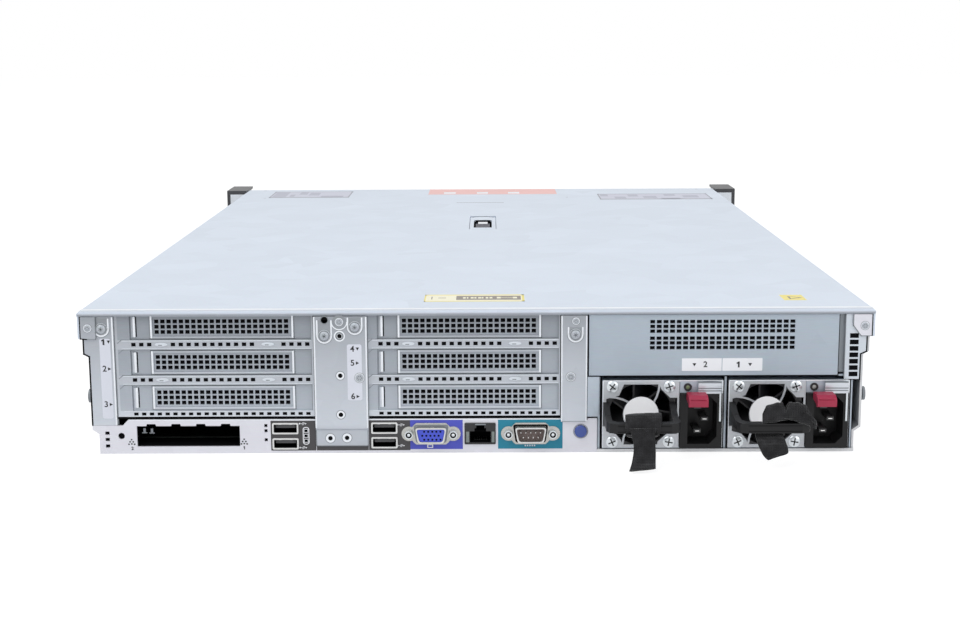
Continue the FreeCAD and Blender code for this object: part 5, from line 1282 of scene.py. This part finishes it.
# ------------------------------------------------------------------ stage, light and camera
def seen_directly(tree):
    """1 for camera, glossy and transmission rays, and 0 for the light that falls on the object."""
    path = node(tree, "LightPath", {}).outputs
    first = maths(tree, "MAXIMUM", path["Is Camera Ray"], path["Is Glossy Ray"])
    return maths(tree, "MAXIMUM", first, path["Is Transmission Ray"])


def surface(owner, kind, first, second):
    """Shows the first shader to falling light and the second one to the camera."""
    owner.use_nodes = True
    tree = owner.node_tree
    tree.nodes.clear()
    shown = {0: seen_directly(tree), 1: first(tree), 2: second(tree)}
    both = node(tree, "MixShader", shown)
    fill(tree, node(tree, kind, {}), {"Surface": both.outputs[0]})


def background(*colour, strength):
    inputs = {"Color": (*colour, 1), "Strength": strength}
    return lambda tree: node(tree, "Background", inputs).outputs[0]


def lit_floor(tree):
    return node(tree, "BsdfDiffuse", {"Color": (0.86, 0.86, 0.87, 1)}).outputs[0]


def seen_floor(tree):
    faint = node(tree, "BsdfDiffuse", {"Color": (0.3, 0.3, 0.3, 1)})
    white = node(tree, "Emission", {"Color": (1, 1, 1, 1), "Strength": 0.84})
    return node(tree, "AddShader", {0: faint.outputs[0], 1: white.outputs[0]}).outputs[0]


def stage(half=6):
    data = bpy.data.meshes.new("floor")
    corners = [(x, y, 0) for x, y in box_outline(-half, half, -half, half)]
    data.from_pydata(corners, [], [(0, 1, 2, 3)])
    floor = new_object("floor", data)
    floor.location.z = -0.0002       # just below the pan
    data.materials.append(bpy.data.materials.new("floor_white"))
    surface(data.materials[0], "OutputMaterial", lit_floor, seen_floor)


def lamp(name, place_at, aim, size, power):
    light = bpy.data.lights.new(name, "AREA")
    light.shape = "RECTANGLE"
    light.size, light.size_y = size
    light.energy = power
    made = new_object(name, light)
    made.location = place_at
    made.rotation_euler = (Vector(aim) - Vector(place_at)).to_track_quat("-Z", "Y").to_euler()


def camera(place_at, pitch, yaw, roll, lens):
    """Looks along +Y, turned by small angles in radians."""
    level = math.cos(pitch)
    forward = Vector((math.sin(yaw) * level, math.cos(yaw) * level, -math.sin(pitch)))
    right = Vector((math.cos(yaw), -math.sin(yaw), 0))
    up = right.cross(forward)
    right_rolled = math.cos(roll) * right + math.sin(roll) * up
    up_rolled = -math.sin(roll) * right + math.cos(roll) * up
    data = bpy.data.cameras.new("camera")
    data.sensor_width = 36
    data.lens = lens
    made = new_object("camera", data)
    turn = Matrix((right_rolled, up_rolled, -forward)).transposed()
    made.matrix_world = Matrix.Translation(place_at) @ turn.to_4x4()
    bpy.context.scene.camera = made


stage()
lamp("key", (-1.2, -1.6, 2.2), (0, -0.1, 0), (2, 2), 30)
lamp("fill", (1.8, -1.4, 1.2), (0, -0.2, 0.05), (2, 1.6), 16)
lamp("top", (0, 0.6, 2.4), (0, 0.1, 0), (2.4, 2.4), 7)
studio = bpy.data.worlds.new("studio")
bpy.context.scene.world = studio
surface(studio, "OutputWorld", background(0.95, 0.97, 1, strength=0.55),
        background(1, 1, 1, strength=1))
camera((0.007558, -1.19302, 0.23953), pitch=0.1858, yaw=-0.0059, roll=-0.0049, lens=59.39)
bpy.context.scene.view_settings.view_transform = "Standard"
